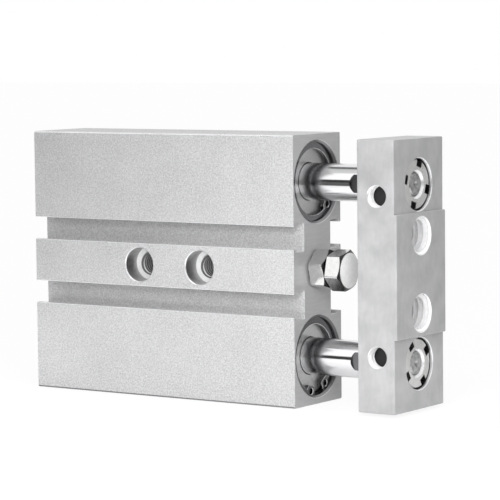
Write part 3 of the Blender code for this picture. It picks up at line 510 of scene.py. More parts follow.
def thread(sizes, length, inside=True, crest=FINE_THREAD_HIGHLIGHT, root=FINE_THREAD_SHADE):
    """Shell with a helical thread from x = 0 back to x = -length, ending in plain rims. The
    crest finish is a painted highlight, and the root finish, painted shade, is for the outer flat and the
    flank behind it."""
    core, outer, pitch = sizes
    rim = thread_room(sizes) if inside else core - THREAD_RIM
    form = ((0.0, core), (INNER_FLAT, core), (FLANK, outer), (OUTER_FLAT, outer))
    root_rows = (2, 3)
    turns = range(int(length / pitch) + SPARE_TURNS)
    rows = [(turn + share, radius) for turn in turns for share, radius in form]
    bm = bmesh.new()
    columns = []
    rims = []
    for step in range(THREAD_SIDES + 1):
        lead = step / THREAD_SIDES
        angle = math.tau * lead
        column = []
        for place, radius in rows:
            x = min(0.0, max(-length, (lead - place) * pitch))
            inset = min(-x, x + length)
            radius = max(radius, rim - inset) if inside else min(radius, rim + inset)
            column.append(bm.verts.new((x, radius * math.cos(angle), radius * math.sin(angle))))
        columns.append(column)
        rims.append([bm.verts.new((x, rim * math.cos(angle), rim * math.sin(angle)))
                     for x in (0.0, -length)])
    for left, right in zip(columns, columns[1:]):
        for row in range(len(rows) - 1):
            face = bm.faces.new((left[row], left[row + 1], right[row + 1], right[row]))
            # The root rows are in painted shade, the others in a painted highlight
            face.material_index = int(row % len(form) in root_rows)
    if inside:
        for left, right in zip(rims, rims[1:]):
            bm.faces.new((left[0], left[1], right[1], right[0]))
    else:
        for end in range(2):
            bm.faces.new([pair[end] for pair in rims[:-1]])
    bmesh.ops.remove_doubles(bm, verts=bm.verts, dist=MERGE_DISTANCE)
    return mesh_from(bm, crest, root)


def piece(name, mesh):
    """New object at the origin."""
    made = bpy.data.objects.new(name, mesh)
    bpy.context.scene.collection.objects.link(made)
    return made


def taken(made):
    """Mesh of a piece, which is removed."""
    mesh = made.data
    bpy.data.objects.remove(made, do_unlink=True)
    return mesh


def paint(mesh, faces, material):
    """Give some faces of a mesh one more finish."""
    mesh.materials.append(material)
    for face in faces:
        face.material_index = len(mesh.materials) - 1


def shape(target, tool_mesh, operation="DIFFERENCE", place=None):
    """Cut, join or trim a piece that still stands at the origin; new faces keep the tool's finish."""
    tool = piece("tool", tool_mesh)
    tool.matrix_world = place or Matrix()
    modifier = target.modifiers.new("shape", "BOOLEAN")
    modifier.operation = operation
    modifier.solver = "EXACT"
    modifier.material_mode = "TRANSFER"
    modifier.object = tool
    bpy.context.view_layer.update()
    evaluated = target.evaluated_get(bpy.context.evaluated_depsgraph_get())
    result = bpy.data.meshes.new_from_object(evaluated)
    target.modifiers.clear()
    target.data = result
    bpy.data.objects.remove(tool, do_unlink=True)


def add_shell(target, mesh, place):
    """Join a separate closed shell to a piece, with its own finishes."""
    mesh.transform(place)
    materials = target.data.materials
    slots = []
    for material in mesh.materials:
        if material.name not in materials:
            materials.append(material)
        slots.append(materials.find(material.name))
    bm = bmesh.new()
    bm.from_mesh(target.data)
    known = len(bm.faces)
    bm.from_mesh(mesh)
    bm.faces.ensure_lookup_table()
    for face in bm.faces[known:]:
        face.material_index = slots[face.material_index]
    bm.to_mesh(target.data)
    bm.free()


def settle(made, node, body, location):
    """Smooth a piece, put it in place, and let it stand for its node."""
    made.data.name = made.name
    made.data.shade_smooth()
    made.data.set_sharp_from_angle(angle=math.radians(SMOOTH_ANGLE))
    weighted = made.modifiers.new("weighted", "WEIGHTED_NORMAL")
    weighted.keep_sharp = True
    made.location = location
    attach(made, body)
    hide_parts(node)


def along_y(x, y, z, outward):
    """Place for a mesh turned about X, so that its +X points along outward Y."""
    return Matrix.Translation((x, y, z)) @ Matrix.Rotation(outward * math.pi / 2, 4, "Z")


# Barrel

def barrel_outline():
    """Profile of the extrusion across the stroke, as (y, z) points from its middle."""
    far = BAR_HALF + SLOT_MOUTH
    slot = [(HALF_DEPTH, BAR_HALF, SLOT_EDGE_RADIUS),
            (HALF_DEPTH - SLOT_LIP, BAR_HALF, 0),
            (HALF_DEPTH - SLOT_LIP, BAR_HALF - SLOT_UNDERCUT, 0),
            (HALF_DEPTH - SLOT_DEPTH, BAR_HALF - SLOT_UNDERCUT, 0),
            (HALF_DEPTH - SLOT_DEPTH, far + SLOT_UNDERCUT, 0),
            (HALF_DEPTH - SLOT_LIP, far + SLOT_UNDERCUT, 0),
            (HALF_DEPTH - SLOT_LIP, far, 0),
            (HALF_DEPTH, far, SLOT_EDGE_RADIUS),
            (HALF_DEPTH, HALF_HEIGHT, LONG_EDGE_RADIUS)]
    lower = [(y, -z, radius) for y, z, radius in reversed(slot)]
    side = lower + slot
    other = [(-y, -z, radius) for y, z, radius in side]
    return rounded(side + other)


def bore_cutter():
    """Stepped bore, with cap seats, ring grooves and chamfered mouths at both ends."""
    chamfer = MOUTH_RADIUS - SEAT_RADIUS
    groove = SEAT_RADIUS + RING_GROOVE_DEPTH
    ring_end = RING_SETBACK + RING_THICKNESS + FIT_GAP
    profile = []
    for end, sign, cap_length in ((REAR_X, 1, REAR_CAP_LENGTH), (FRONT_X, -1, CAP_LENGTH)):
        seat_end = ring_end + FACE_GAP + cap_length
        steps = [(-chamfer, 0),
                 (-chamfer, MOUTH_RADIUS + chamfer),
                 (MOUTH_RIM, MOUTH_RADIUS - MOUTH_RIM),
                 (chamfer, SEAT_RADIUS),
                 (RING_SETBACK - FIT_GAP, SEAT_RADIUS),
                 (RING_SETBACK - FIT_GAP, groove),
                 (ring_end, groove),
                 (ring_end, SEAT_RADIUS),
                 (seat_end, SEAT_RADIUS),
                 (seat_end, BORE_RADIUS)]
        placed = [(end + sign * distance, radius) for distance, radius in steps]
        # All of the bore is in painted shade but its rim, which keeps the machined finish; the rim lies
        # between the second and third steps, and is named at its later end
        rim_end = 2 if sign == 1 else 1
        placed[rim_end] = (*placed[rim_end], MACHINED)
        profile += placed if sign == 1 else placed[::-1]
    return turned(profile, PAINTED_SHADE, BORE_SIDES)


def fixing_hole_cutter():
    """Half of a through hole, with a counterbore at its outer end."""
    step = HALF_DEPTH - HEAD_DEPTH
    hole = thread_room(M5)
    # The counterbore's floor and rim chamfer are in a painted highlight, and its wall in painted shade
    return turned([(-FACE_GAP, 0),
                   (-FACE_GAP, hole),
                   (step - HEAD_FLOOR_FALL, hole),
                   (step, HEAD_RADIUS, HOLE_HIGHLIGHT),
                   (HALF_DEPTH - HEAD_RIM_CHAMFER, HEAD_RADIUS, DRILLED_SHADE),
                   (HALF_DEPTH + HEAD_RIM_CHAMFER, HEAD_RADIUS + 2 * HEAD_RIM_CHAMFER, EDGE),
                   (HALF_DEPTH + HEAD_RIM_CHAMFER, 0)], MACHINED)


def stop_hole_cutter():
    """Hole for the stop screw, in from the barrel's end at x = 0."""
    hole = thread_room(M5)
    return turned([(-STOP_HOLE_DEPTH, 0),
                   (-STOP_HOLE_DEPTH, hole),
                   (CUT_OVERSHOOT, hole),
                   (CUT_OVERSHOOT, 0)], MACHINED)


def port_cutter():
    """Port in from x = 0, with a small drill from its floor to the barrel's middle."""
    hole = thread_room(M5)
    # The port's floor and its small drill are in painted shade
    return turned([(-HALF_DEPTH, 0),
                   (-HALF_DEPTH, DRILL_RADIUS),
                   (-PORT_DEPTH, DRILL_RADIUS, HOLE_END_SHADE),
                   (-PORT_DEPTH, hole, HOLE_END_SHADE),
                   (THREAD_RIM, hole),
                   (THREAD_RIM, 0)], MACHINED)


def barrel_blank():
    """Length of the extrusion, its cut ends in a finish of their own, its rounded edges in a painted
    highlight and the two along the floor in painted shade.
    """
    outline = [(REAR_X, y, z) for y, z in barrel_outline()]
    mesh = swept(outline, (FRONT_X - REAR_X, 0, 0), BLASTED, END_EDGE)
    lengthwise = [face for face in mesh.polygons if abs(face.normal.x) < 1 - SQUARE]
    arcs = [face for face in lengthwise if max(abs(face.normal.y), abs(face.normal.z)) < SQUARE]
    # Painted highlight on the rounded edges, and painted shade on the two edges along the floor
    low = LONG_EDGE_RADIUS - HALF_HEIGHT
    paint(mesh, [face for face in mesh.polygons if abs(face.normal.x) > SQUARE], END_FACE)
    paint(mesh, [face for face in arcs if face.center.z >= low], EDGE)
    paint(mesh, [face for face in arcs if face.center.z < low], PAINTED_SHADE)
    return mesh


def build_barrel():
    """Extruded body with its bores, fixing holes, stop hole and ports."""
    barrel = piece("barrel_body", barrel_blank())
    for sign in (1, -1):
        shape(barrel, bore_cutter(), place=Matrix.Translation((0, 0, sign * AXIS_OFFSET)))
    holes = [FRONT_X - HOLE_SETBACK - index * HOLE_PITCH for index in range(FIXING_HOLES)]
    for hole_x in holes:
        for outward in (1, -1):
            shape(barrel, fixing_hole_cutter(), place=along_y(hole_x, 0, 0, outward))
    shape(barrel, stop_hole_cutter(), place=Matrix.Translation((FRONT_X, 0, 0)))
    ports = (FRONT_X - PORT_SETBACK, REAR_X + REAR_PORT_SETBACK)
    for port_x in ports:
        shape(barrel, port_cutter(), place=along_y(port_x, HALF_DEPTH, 0, 1))
    # The threads' crests are in a painted highlight and their roots in painted shade
    for port_x in ports:
        add_shell(barrel, thread(M5, PORT_DEPTH), along_y(port_x, HALF_DEPTH, 0, 1))
    through = HALF_DEPTH - HEAD_DEPTH - HEAD_FLOOR_FALL / 2
    for hole_x in holes:
        add_shell(barrel, thread(M5, 2 * through), along_y(hole_x, -through, 0, -1))
    settle(barrel, "barrel", "housing", (0, 0, MID_Z))


# Caps and retaining rings

def retaining_ring_mesh(turned_by):
    """Internal retaining ring with two lugs, its gap turned up from +Y by some degrees."""
    outer = SEAT_RADIUS + RING_GROOVE_DEPTH - FIT_GAP

    def polar(degrees, radius, corner=0.0):
        angle = math.radians(degrees + turned_by)
        return (radius * math.cos(angle), radius * math.sin(angle), corner)

    corners = []
    for step in range(RING_OUTER_STEPS + 1):
        corners.append(polar(RING_GAP_ANGLE + (360 - 2 * RING_GAP_ANGLE) * step / RING_OUTER_STEPS, outer))
    lug_tip = outer - RING_LUG_DEPTH
    corners.append(polar(-RING_GAP_ANGLE, lug_tip, RING_LUG_ROUND))
    corners.append(polar(-RING_LUG_ANGLE, lug_tip, RING_LUG_ROUND))
    for step in range(RING_INNER_STEPS + 1):
        turn = RING_LUG_ANGLE + (360 - 2 * RING_LUG_ANGLE) * step / RING_INNER_STEPS
        fullness = math.sin(math.pi * step / RING_INNER_STEPS)
        corners.append(polar(-turn, outer - RING_THIN - (RING_THICK - RING_THIN) * fullness))
    corners.append(polar(RING_LUG_ANGLE, lug_tip, RING_LUG_ROUND))
    corners.append(polar(RING_GAP_ANGLE, lug_tip, RING_LUG_ROUND))
    outline = [(0, y, z) for y, z in rounded(corners)]
    mesh = swept(outline, (RING_THICKNESS, 0, 0), RING, RING_EDGE)
    # Painted highlight on the bevels of the inner edge
    bevels = [face for face in mesh.polygons if RING_EDGE_SLOPE < abs(face.normal.x) < SQUARE]
    middle = outer - RING_THIN / 2
    paint(mesh, [face for face in bevels if math.hypot(face.center.y, face.center.z) < middle], RING_HIGHLIGHT)
    ring = piece("ring", mesh)
    # The front flares of the holes get the painted highlight too
    flare = RING_THICKNESS + RING_EDGE
    drill = [(-RING_THICKNESS, 0), (-RING_THICKNESS, RING_HOLE_RADIUS),
             (RING_THICKNESS - RING_EDGE, RING_HOLE_RADIUS),
             (flare, RING_HOLE_RADIUS + 2 * RING_EDGE, RING_HIGHLIGHT), (flare, 0)]
    for degrees in (-RING_HOLE_ANGLE, RING_HOLE_ANGLE):
        y, z, _ = polar(degrees, outer - RING_HOLE_DEPTH)
        shape(ring, turned(drill, RING, RING_HOLE_SIDES), place=Matrix.Translation((0, y, z)))
    return taken(ring)


def build_rings():
    """Retaining rings at both ends of each bore, those of a bore turned alike."""
    for side in SIDES:
        mesh = retaining_ring_mesh(RING_TURNS[side])
        for end in ("front", "rear"):
            node = f"{side}_{end}_retaining_ring"
            low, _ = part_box(node)
            ring = piece(f"{side}_{end}_circlip", mesh.copy())
            settle(ring, node, "housing", (low.x, 0, axis_z(side)))


def groove_steps(start):
    """Sealing ring groove of a cap, from its front to its back."""
    end = start + CAP_GROOVE_WIDTH
    return [(start, CAP_RADIUS), (start, CAP_GROOVE_RADIUS), (end, CAP_GROOVE_RADIUS), (end, CAP_RADIUS)]


def nose_steps(length):
    """Shoulder, nose and cushion recess at the inner end of a cap."""
    end = length + NOSE_LENGTH
    return [(length, CAP_RADIUS), (length, NOSE_RADIUS), (end, NOSE_RADIUS),
            (end, CUSHION_SEAT_RADIUS), (end - CUSHION_SINK, CUSHION_SEAT_RADIUS)]


def build_caps():
    """End covers of the bores: a bearing cap round each rod and a blind cap behind."""
    hole = ROD_RADIUS + WIPER_GAP
    seal = ROD_RADIUS + ROD_SEAL_DEPTH
    seal_end = CAP_WALL + ROD_SEAL_WIDTH
    bush_start = seal_end + ROD_SEAL_LAND
    rim = [(0, CAP_RADIUS - CAP_EDGE), (CAP_EDGE, CAP_RADIUS)]
    bearing = [(0, ROD_RADIUS + WIPER_SLIT)] + rim + groove_steps(FRONT_GROOVE_SETBACK)
    bearing += nose_steps(CAP_LENGTH)
    bearing += [(CAP_LENGTH + NOSE_LENGTH - CUSHION_SINK, BUSH_SEAT_RADIUS), (bush_start, BUSH_SEAT_RADIUS),
                (bush_start, hole), (seal_end, hole), (seal_end, seal), (CAP_WALL, seal), (CAP_WALL, hole),
                (WIPER_LIP, hole), (WIPER_LIP, ROD_RADIUS + WIPER_SLIT)]
    bearing = [(-distance, radius) for distance, radius in bearing]
    blind = [(DISH_DEPTH, 0), (DISH_DEPTH, DISH_RADIUS - DISH_DEPTH), (0, DISH_RADIUS)]
    blind += rim + groove_steps(REAR_GROOVE_SETBACK) + nose_steps(REAR_CAP_LENGTH)
    blind += [(REAR_CAP_LENGTH + NOSE_LENGTH - CUSHION_SINK, 0)]
    for side in SIDES:
        node = side + "_bearing_cap"
        settle(piece(side + "_rod_cover", turned(bearing, CAP)), node, "housing",
               (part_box(node)[1].x, 0, axis_z(side)))
        node = side + "_rear_cap"
        settle(piece(side + "_rear_cover", turned(blind, CAP)), node, "housing",
               (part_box(node)[0].x, 0, axis_z(side)))


# Rods and slotted nuts

def rod_mesh():
    """Rod with wrench flats, a stud and a spigot for the piston, its shoulder at x = 0."""
    stud = STUD_END - SHOULDER_X
    length = SHOULDER_X - ROD_LOW.x - SPIGOT_LENGTH
    rear = -length - SPIGOT_LENGTH
    profile = [(rear, 0),
               (rear, STUD_RADIUS - SPIGOT_EDGE),
               (rear + SPIGOT_EDGE, STUD_RADIUS),
               (-length, STUD_RADIUS),
               (-length, ROD_RADIUS),
               (-ROD_EDGE, ROD_RADIUS),
               (0, ROD_RADIUS - ROD_EDGE),
               (0, STUD_RADIUS),
               (stud - STUD_EDGE, STUD_RADIUS, CUT_STEEL),
               (stud, STUD_RADIUS - STUD_EDGE, CUT_STEEL),
               (stud, CENTRE_DRILL_RADIUS, CUT_STEEL),
               (stud - CENTRE_DRILL_DEPTH, 0, CUT_STEEL)]
    rod = piece("rod", turned(profile, CHROME))
    mill_x = MILL_RADIUS - FLAT_LENGTH
    outline = [(ROD_EDGE, MILL_RADIUS), (ROD_EDGE, -MILL_RADIUS)]
    for step in range(MILL_STEPS + 1):
        angle = -math.pi / 2 - math.pi * step / MILL_STEPS
        outline.append((mill_x + MILL_RADIUS * math.cos(angle), MILL_RADIUS * math.sin(angle)))
    for sign in (1, -1):
        flat_y = sign * (ROD_RADIUS - FLAT_DEPTH)
        shape(rod, swept([(x, flat_y, z) for x, z in outline], (0, sign * ROD_RADIUS, 0), WRENCH_FLAT))
    return taken(rod)


def slotted_nut_mesh(turn):
    """Round nut with four spanner slots in its rim, its inner face at x = 0."""
    hole = STUD_RADIUS + FIT_GAP
    face = NUT_THICKNESS - NUT_FACE_SINK
    # The chamfer of the nut's thread at its face is a painted highlight
    profile = [(0, hole), (0, NUT_RADIUS - NUT_EDGE), (NUT_EDGE, NUT_RADIUS),
               (face - NUT_EDGE, NUT_RADIUS), (face, NUT_RADIUS - NUT_EDGE),
               (face, hole + NUT_THREAD_EDGE), (face - NUT_THREAD_EDGE, hole, EDGE)]
    nut = piece("nut", turned(profile, NUT_FACE))
    half = NUT_SLOT_WIDTH / 2
    for index in range(NUT_SLOTS):
        place = Matrix.Rotation(math.radians(turn) + index * math.tau / NUT_SLOTS, 4, "X")
        outline = [(-NUT_EDGE, NUT_RADIUS - NUT_SLOT_DEPTH, -half), (-NUT_EDGE, 2 * NUT_RADIUS, -half),
                   (-NUT_EDGE, 2 * NUT_RADIUS, half), (-NUT_EDGE, NUT_RADIUS - NUT_SLOT_DEPTH, half)]
        shape(nut, swept(outline, (NUT_THICKNESS + 2 * NUT_EDGE, 0, 0), NUT_FACE), place=place)
    return taken(nut)


def build_rods():
    """Both rods, each with its slotted nut."""
    mesh = rod_mesh()
    for side in SIDES:
        rod = piece(side + "_rod", mesh.copy())
        settle(rod, side + "_piston_rod", "carriage", (SHOULDER_X, 0, axis_z(side)))
        nut = piece(side + "_ring_nut", slotted_nut_mesh(NUT_TURNS[side]))
        settle(nut, side + "_slotted_nut", "carriage", (NUT_LOW.x, 0, axis_z(side)))


# Yoke plate

def yoke_blank(recess):
    """Plate with its back at x = 0 and a raised pad between the recesses, all its edges softened."""
    pad_half = AXIS_OFFSET - recess - PAD_CLEAR
    top = (YOKE_HIGH.z - YOKE_LOW.z) / 2
    side = [(YOKE_THICKNESS + PAD_RISE, pad_half),
            (YOKE_THICKNESS, pad_half),
            (YOKE_THICKNESS, top),
            (0, top)]
    outline = [(x, -YOKE_DEPTH / 2, z) for x, z in side + [(x, -z) for x, z in reversed(side)]]
    mesh = swept(outline, (0, YOKE_DEPTH, 0), MILLED)
    bm = bmesh.new()
    bm.from_mesh(mesh)
    edges = [edge for edge in bm.edges if edge.is_convex]
    bmesh.ops.bevel(bm, geom=edges, offset=YOKE_EDGE, segments=EDGE_STEPS, profile=0.5, affect="EDGES")
    bm.to_mesh(mesh)
    bm.free()
    return mesh


def nut_seat_cutter(recess):
    """Recess for a slotted nut, with the stud's hole through its floor."""
    floor = YOKE_THICKNESS - NUT_SINK - NUT_THICKNESS - FACE_GAP
    stud_hole = STUD_RADIUS + FIT_GAP
    # The recess's floor and the wall beside the nut are in painted shade, the wall above the nut and its
    # chamfer in a painted highlight
    return turned([(-YOKE_EDGE, 0),
                   (-YOKE_EDGE, stud_hole),
                   (floor, stud_hole),
                   (floor, recess, HOLE_END_SHADE),
                   (YOKE_THICKNESS - NUT_SINK - NUT_FACE_SINK, recess, PAINTED_SHADE),
                   (YOKE_THICKNESS - RECESS_CHAMFER, recess, EDGE),
                   (YOKE_THICKNESS + RECESS_CHAMFER, recess + 2 * RECESS_CHAMFER, EDGE),
                   (YOKE_THICKNESS + RECESS_CHAMFER, 0)], MACHINED)


def pad_hole_cutter(through):
    """Hole for an M8 thread, right through the pad."""
    hole = thread_room(M8)
    return turned([(-YOKE_EDGE, 0),
                   (-YOKE_EDGE, hole),
                   (through + YOKE_EDGE, hole),
                   (through + YOKE_EDGE, 0)], MACHINED)


def side_hole_cutter():
    """Blind hole for an M5 thread, in from x = 0, its floor in painted shade and a lip at its mouth in a
    painted highlight.
    """
    hole = thread_room(M5)
    return turned([(-SIDE_HOLE_DEPTH, 0),
                   (-SIDE_HOLE_DEPTH, hole, HOLE_END_SHADE),
                   (-SIDE_LIP, hole),
                   (-SIDE_LIP, SIDE_MOUTH),
                   (SIDE_LIP, SIDE_MOUTH + 2 * SIDE_LIP, EDGE),
                   (SIDE_LIP, 0)], MACHINED)


def build_yoke():
    """Plate that joins the rods, with the nuts' recesses and threaded holes in pad and side."""
    recess = NUT_RADIUS + NUT_GAP
    through = YOKE_THICKNESS + PAD_RISE
    hole_offset = AXIS_OFFSET - recess - PAD_HOLE_WALL - M8.core
    side_offset = AXIS_OFFSET - SIDE_HOLE_SHIFT
    yoke = piece("yoke", yoke_blank(recess))
    for sign in (1, -1):
        shape(yoke, nut_seat_cutter(recess), place=Matrix.Translation((0, 0, sign * AXIS_OFFSET)))
        shape(yoke, pad_hole_cutter(through), place=Matrix.Translation((0, 0, sign * hole_offset)))
        shape(yoke, side_hole_cutter(), place=along_y(through / 2, -YOKE_DEPTH / 2, sign * side_offset, -1))
    # The threads' crests are in a painted highlight and their roots in painted shade
    for sign in (1, -1):
        add_shell(yoke, thread(M8, through, True, HOLE_HIGHLIGHT, THREAD_SHADE),
                  Matrix.Translation((through, 0, sign * hole_offset)))
        add_shell(yoke, thread(M5, SIDE_HOLE_DEPTH - SIDE_LIP, True, HOLE_HIGHLIGHT, THREAD_SHADE),
                  along_y(through / 2, SIDE_LIP - YOKE_DEPTH / 2, sign * side_offset, -1))
    settle(yoke, "yoke_plate", "carriage", (YOKE_LOW.x, 0, MID_Z))


# Stop screw and lock nut

def hexagon(name, thickness, turn):
    """Hexagon block from x = 0, its corners turned down in front, on a round washer face behind."""
    corner = HEX_FLATS / math.sqrt(3)
    bm = bmesh.new()
    points = []
    for index in range(6):
        angle = math.radians(60 * index + turn)
        points.append(bm.verts.new((0, corner * math.sin(angle), corner * math.cos(angle))))
    grown = bmesh.ops.extrude_face_region(bm, geom=[bm.faces.new(points)])
    moved = [item for item in grown["geom"] if isinstance(item, bmesh.types.BMVert)]
    bmesh.ops.translate(bm, vec=(thickness, 0, 0), verts=moved)
    uprights = [edge for edge in bm.edges if abs(edge.verts[0].co.x - edge.verts[1].co.x) > thickness / 2]
    bmesh.ops.bevel(bm, geom=uprights, offset=HEX_EDGE, segments=HEX_EDGE_STEPS, profile=0.5,
                    affect="EDGES")
    made = piece(name, mesh_from(bm, BRIGHT))
    wide = corner + FACE_GAP
    slope = math.tan(math.radians(HEX_CHAMFER_ANGLE))
    drop = (wide - HEX_FACE_RADIUS) * slope
    # The front chamfer, the washer face and the shoulder behind it are in painted shade
    front = [(thickness - drop, wide), (thickness + FACE_GAP, HEX_FACE_RADIUS - FACE_GAP / slope, CHAMFER),
             (thickness + FACE_GAP, 0)]
    back = [(-FACE_GAP, 0), (-FACE_GAP, HEX_FACE_RADIUS), (WASHER_FACE, HEX_FACE_RADIUS, CHAMFER),
            (WASHER_FACE, wide, CHAMFER)]
    shape(made, turned(back + front, BRIGHT), "INTERSECT")
    return made


def build_lock_nut():
    """Nut that holds the stop screw, both mouths of its hole flared."""
    nut = hexagon("lock_nut", LOCK_NUT_THICKNESS, LOCK_NUT_TURN)
    hole = STUD_RADIUS + FIT_GAP
    flare = hole + STOP_MOUTH_CHAMFER
    bore = [(-FACE_GAP, 0), (-FACE_GAP, flare + FACE_GAP), (STOP_MOUTH_CHAMFER, hole),
            (LOCK_NUT_THICKNESS - STOP_MOUTH_CHAMFER, hole),
            (LOCK_NUT_THICKNESS + FACE_GAP, flare + FACE_GAP), (LOCK_NUT_THICKNESS + FACE_GAP, 0)]
    shape(nut, turned(bore, BRIGHT))
    settle(nut, "stop_lock_nut", "lock_nut", (LOCK_LOW.x, 0, MID_Z))


def build_stop_screw():
    """Screw that limits the stroke, with a domed face on its head."""
    screw = hexagon("stop_bolt", STOP_HEAD_THICKNESS, STOP_HEAD_TURN)
    sphere = (DOME_RADIUS ** 2 + DOME_RISE ** 2) / (2 * DOME_RISE)
    dome = [(STOP_HEAD_THICKNESS / 2, 0), (STOP_HEAD_THICKNESS / 2, DOME_RADIUS)]
    for step in range(DOME_STEPS + 1):
        radius = DOME_RADIUS * (1 - step / DOME_STEPS)
        rise = math.sqrt(sphere ** 2 - radius ** 2) - (sphere - DOME_RISE)
        dome.append((STOP_HEAD_THICKNESS + rise, radius))
    shape(screw, turned(dome, FORGED), "UNION")
    head_start = LOCK_HIGH.x + FACE_GAP
    shank = thread(M5, head_start - STOP_LOW.x, False, BRIGHT, BRIGHT)
    add_shell(screw, shank, Matrix.Translation((THREAD_RIM, 0, 0)))
    settle(screw, "stop_screw", "stop", (head_start, 0, MID_Z))


def dress_inner_nodes():
    """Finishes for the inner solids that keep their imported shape."""
    finishes = {"rod_seal": RUBBER, "bearing_bush": BRONZE, "o_ring": RUBBER, "cushion": CUSHION,
                "piston_front_seal": RUBBER, "piston_rear_seal": RUBBER, "magnet_ring": MAGNET,
                "guide_ring": GUIDE, "piston": MACHINED}
    for name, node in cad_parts.items():
        for ending, material in finishes.items():
            if name.endswith(ending):
                node.data.materials.clear()
                node.data.materials.append(material)


# Studio

def combined(nodes, links, first, second, operation):
    """Two factors put together by a maths operation."""
    maths = nodes.new("ShaderNodeMath")
    maths.operation = operation
    links.new(first, maths.inputs[0])
    links.new(second, maths.inputs[1])
    return maths.outputs["Value"]


def facing(nodes, links, vector, direction, start, end):
    """Factor that rises from 0 to 1 as a vector reaches further along a direction."""
    product = nodes.new("ShaderNodeVectorMath")
    product.operation = "DOT_PRODUCT"
    product.inputs[1].default_value = direction
    links.new(vector, product.inputs[0])
    return ranged(nodes, links, product.outputs["Value"], 0.0, 1.0, start, end)


def background_share(nodes, links, behind):
    """1 for the camera's rays, and for glossy and transmitted rays that go to the backdrop."""
    light_path = nodes.new("ShaderNodeLightPath")
    bent = combined(nodes, links, light_path.outputs["Is Glossy Ray"],
                    light_path.outputs["Is Transmission Ray"], "MAXIMUM")
    bent = combined(nodes, links, bent, behind, "MULTIPLY")
    return combined(nodes, links, light_path.outputs["Is Camera Ray"], bent, "MAXIMUM")


def grey_ramp(nodes, links, factor, stops):
    """Grey that follows (degrees, value) stops, from a factor over a whole turn."""
    ramp = nodes.new("ShaderNodeValToRGB")
    links.new(factor, ramp.inputs["Fac"])
    while len(ramp.color_ramp.elements) < len(stops):
        ramp.color_ramp.elements.new(0.5)
    for element, (degrees, value) in zip(ramp.color_ramp.elements, stops):
        element.position = degrees / 360 + 0.5
        element.color = (value, value, value, 1.0)
    return ramp.outputs["Color"]


def build_world():
    """Soft studio: its light changes with the pitch round the X axis, and from left to right."""
    world = bpy.data.worlds.new("studio")
    bpy.context.scene.world = world
    world.use_nodes = True
    nodes = world.node_tree.nodes
    links = world.node_tree.links
    background = nodes["Background"]
    direction = nodes.new("ShaderNodeTexCoord").outputs["Generated"]
    split = nodes.new("ShaderNodeSeparateXYZ")
    links.new(direction, split.inputs["Vector"])
    front = ranged(nodes, links, split.outputs["Y"], 1.0, -1.0, -1.0, 1.0)
    pitch = combined(nodes, links, split.outputs["Z"], front, "ARCTAN2")
    turn = ranged(nodes, links, pitch, 0.0, 1.0, -math.pi, math.pi)
    x = split.outputs["X"]
    left = ranged(nodes, links, x, 1.0, 0.0, STRIP_EDGE, STRIP_EDGE + SIDE_BLEND)
    right = ranged(nodes, links, x, 0.0, 1.0, RIGHT_EDGE, RIGHT_EDGE + SIDE_BLEND)
    studio = grey_ramp(nodes, links, turn, OPEN_LIGHT)
    for factor, stops in ((left, LEFT_LIGHT), (right, RIGHT_LIGHT)):
        mix = nodes.new("ShaderNodeMix")
        mix.data_type = "RGBA"
        links.new(factor, mix.inputs["Factor"])
        links.new(studio, mix.inputs["A"])
        links.new(grey_ramp(nodes, links, turn, stops), mix.inputs["B"])
        studio = mix.outputs["Result"]
    white = nodes.new("ShaderNodeMix")
    white.data_type = "RGBA"
    white.inputs["B"].default_value = (1.0, 1.0, 1.0, 1.0)
    behind = facing(nodes, links, direction, AWAY, BACKDROP_START, BACKDROP_FULL)
    links.new(background_share(nodes, links, behind), white.inputs["Factor"])
    links.new(studio, white.inputs["A"])
    links.new(white.outputs["Result"], background.inputs["Color"])
    background.inputs["Strength"].default_value = 1.0


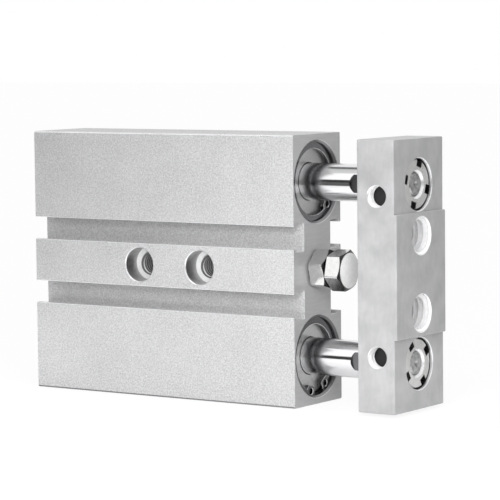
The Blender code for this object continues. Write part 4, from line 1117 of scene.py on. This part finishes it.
def build_floor():
    """Pale table that keeps a soft shadow of the part and falls dark some way in front."""
    bm = bmesh.new()
    bmesh.ops.create_grid(bm, x_segments=1, y_segments=1, size=FLOOR_REACH)
    floor = piece("floor", mesh_from(bm))
    floor.location = (0, 0, -FACE_GAP)
    material = bpy.data.materials.new("table")
    material.use_nodes = True
    nodes = material.node_tree.nodes
    links = material.node_tree.links
    shader = nodes["Principled BSDF"]
    shader.inputs["Roughness"].default_value = TABLE_ROUGHNESS
    place = nodes.new("ShaderNodeTexCoord").outputs["Object"]
    offset = nodes.new("ShaderNodeVectorMath")
    offset.operation = "DISTANCE"
    offset.inputs[1].default_value = TABLE_CENTRE
    links.new(place, offset.inputs[0])
    near = ranged(nodes, links, offset.outputs["Value"], 1.0, 0.0, TABLE_RADIUS, TABLE_RADIUS + TABLE_FADE)
    behind = facing(nodes, links, place, AWAY, 0.0, TABLE_RADIUS)
    share = background_share(nodes, links, behind)
    pale = combined(nodes, links, near, share, "MAXIMUM")
    links.new(shaded(nodes, links, [TABLE_GREY] * 3, pale, TABLE_SPREAD), shader.inputs["Base Color"])
    glow = nodes.new("ShaderNodeEmission")
    mix = nodes.new("ShaderNodeMixShader")
    links.new(ranged(nodes, links, share, 0.0, TABLE_GLOW), mix.inputs["Fac"])
    links.new(shader.outputs["BSDF"], mix.inputs[1])
    links.new(glow.outputs["Emission"], mix.inputs[2])
    links.new(mix.outputs["Shader"], nodes["Material Output"].inputs["Surface"])
    floor.data.materials.append(material)


def area_light(name, location, width, height, power):
    """Soft lamp that points at the part."""
    data = bpy.data.lights.new(name, "AREA")
    data.shape = "RECTANGLE"
    data.size = width
    data.size_y = height
    data.energy = power
    lamp = bpy.data.objects.new(name, data)
    bpy.context.scene.collection.objects.link(lamp)
    lamp.location = location
    lamp.visible_camera = False
    lamp.visible_glossy = False
    lamp.rotation_mode = "QUATERNION"
    lamp.rotation_quaternion = (CAMERA_TARGET - Vector(location)).to_track_quat("-Z", "Y")


def build_camera():
    """Camera at the photograph's viewing angle, and the scene's own."""
    back = -AWAY
    right = Vector((math.cos(CAMERA_AZIMUTH), math.sin(CAMERA_AZIMUTH), 0.0))
    up = back.cross(right)
    rolled_right = math.cos(CAMERA_ROLL) * right + math.sin(CAMERA_ROLL) * up
    rolled_up = math.cos(CAMERA_ROLL) * up - math.sin(CAMERA_ROLL) * right
    data = bpy.data.cameras.new("camera")
    data.sensor_width = SENSOR_WIDTH
    data.lens = FOCAL_PIXELS * SENSOR_WIDTH / PHOTO_PIXELS
    data.clip_start = CLIP_NEAR
    data.clip_end = CLIP_FAR
    camera = bpy.data.objects.new("camera", data)
    bpy.context.scene.collection.objects.link(camera)
    rotation = Matrix((rolled_right, rolled_up, back)).transposed()
    camera.matrix_world = Matrix.Translation(CAMERA_TARGET + CAMERA_DISTANCE * back) @ rotation.to_4x4()
    bpy.context.scene.camera = camera


build_camera()
build_world()
build_floor()
for lamp in LAMPS:
    area_light(*lamp)
build_barrel()
build_rings()
build_caps()
build_rods()
build_yoke()
build_lock_nut()
build_stop_screw()
dress_inner_nodes()
bpy.context.scene.view_settings.view_transform = "Standard"
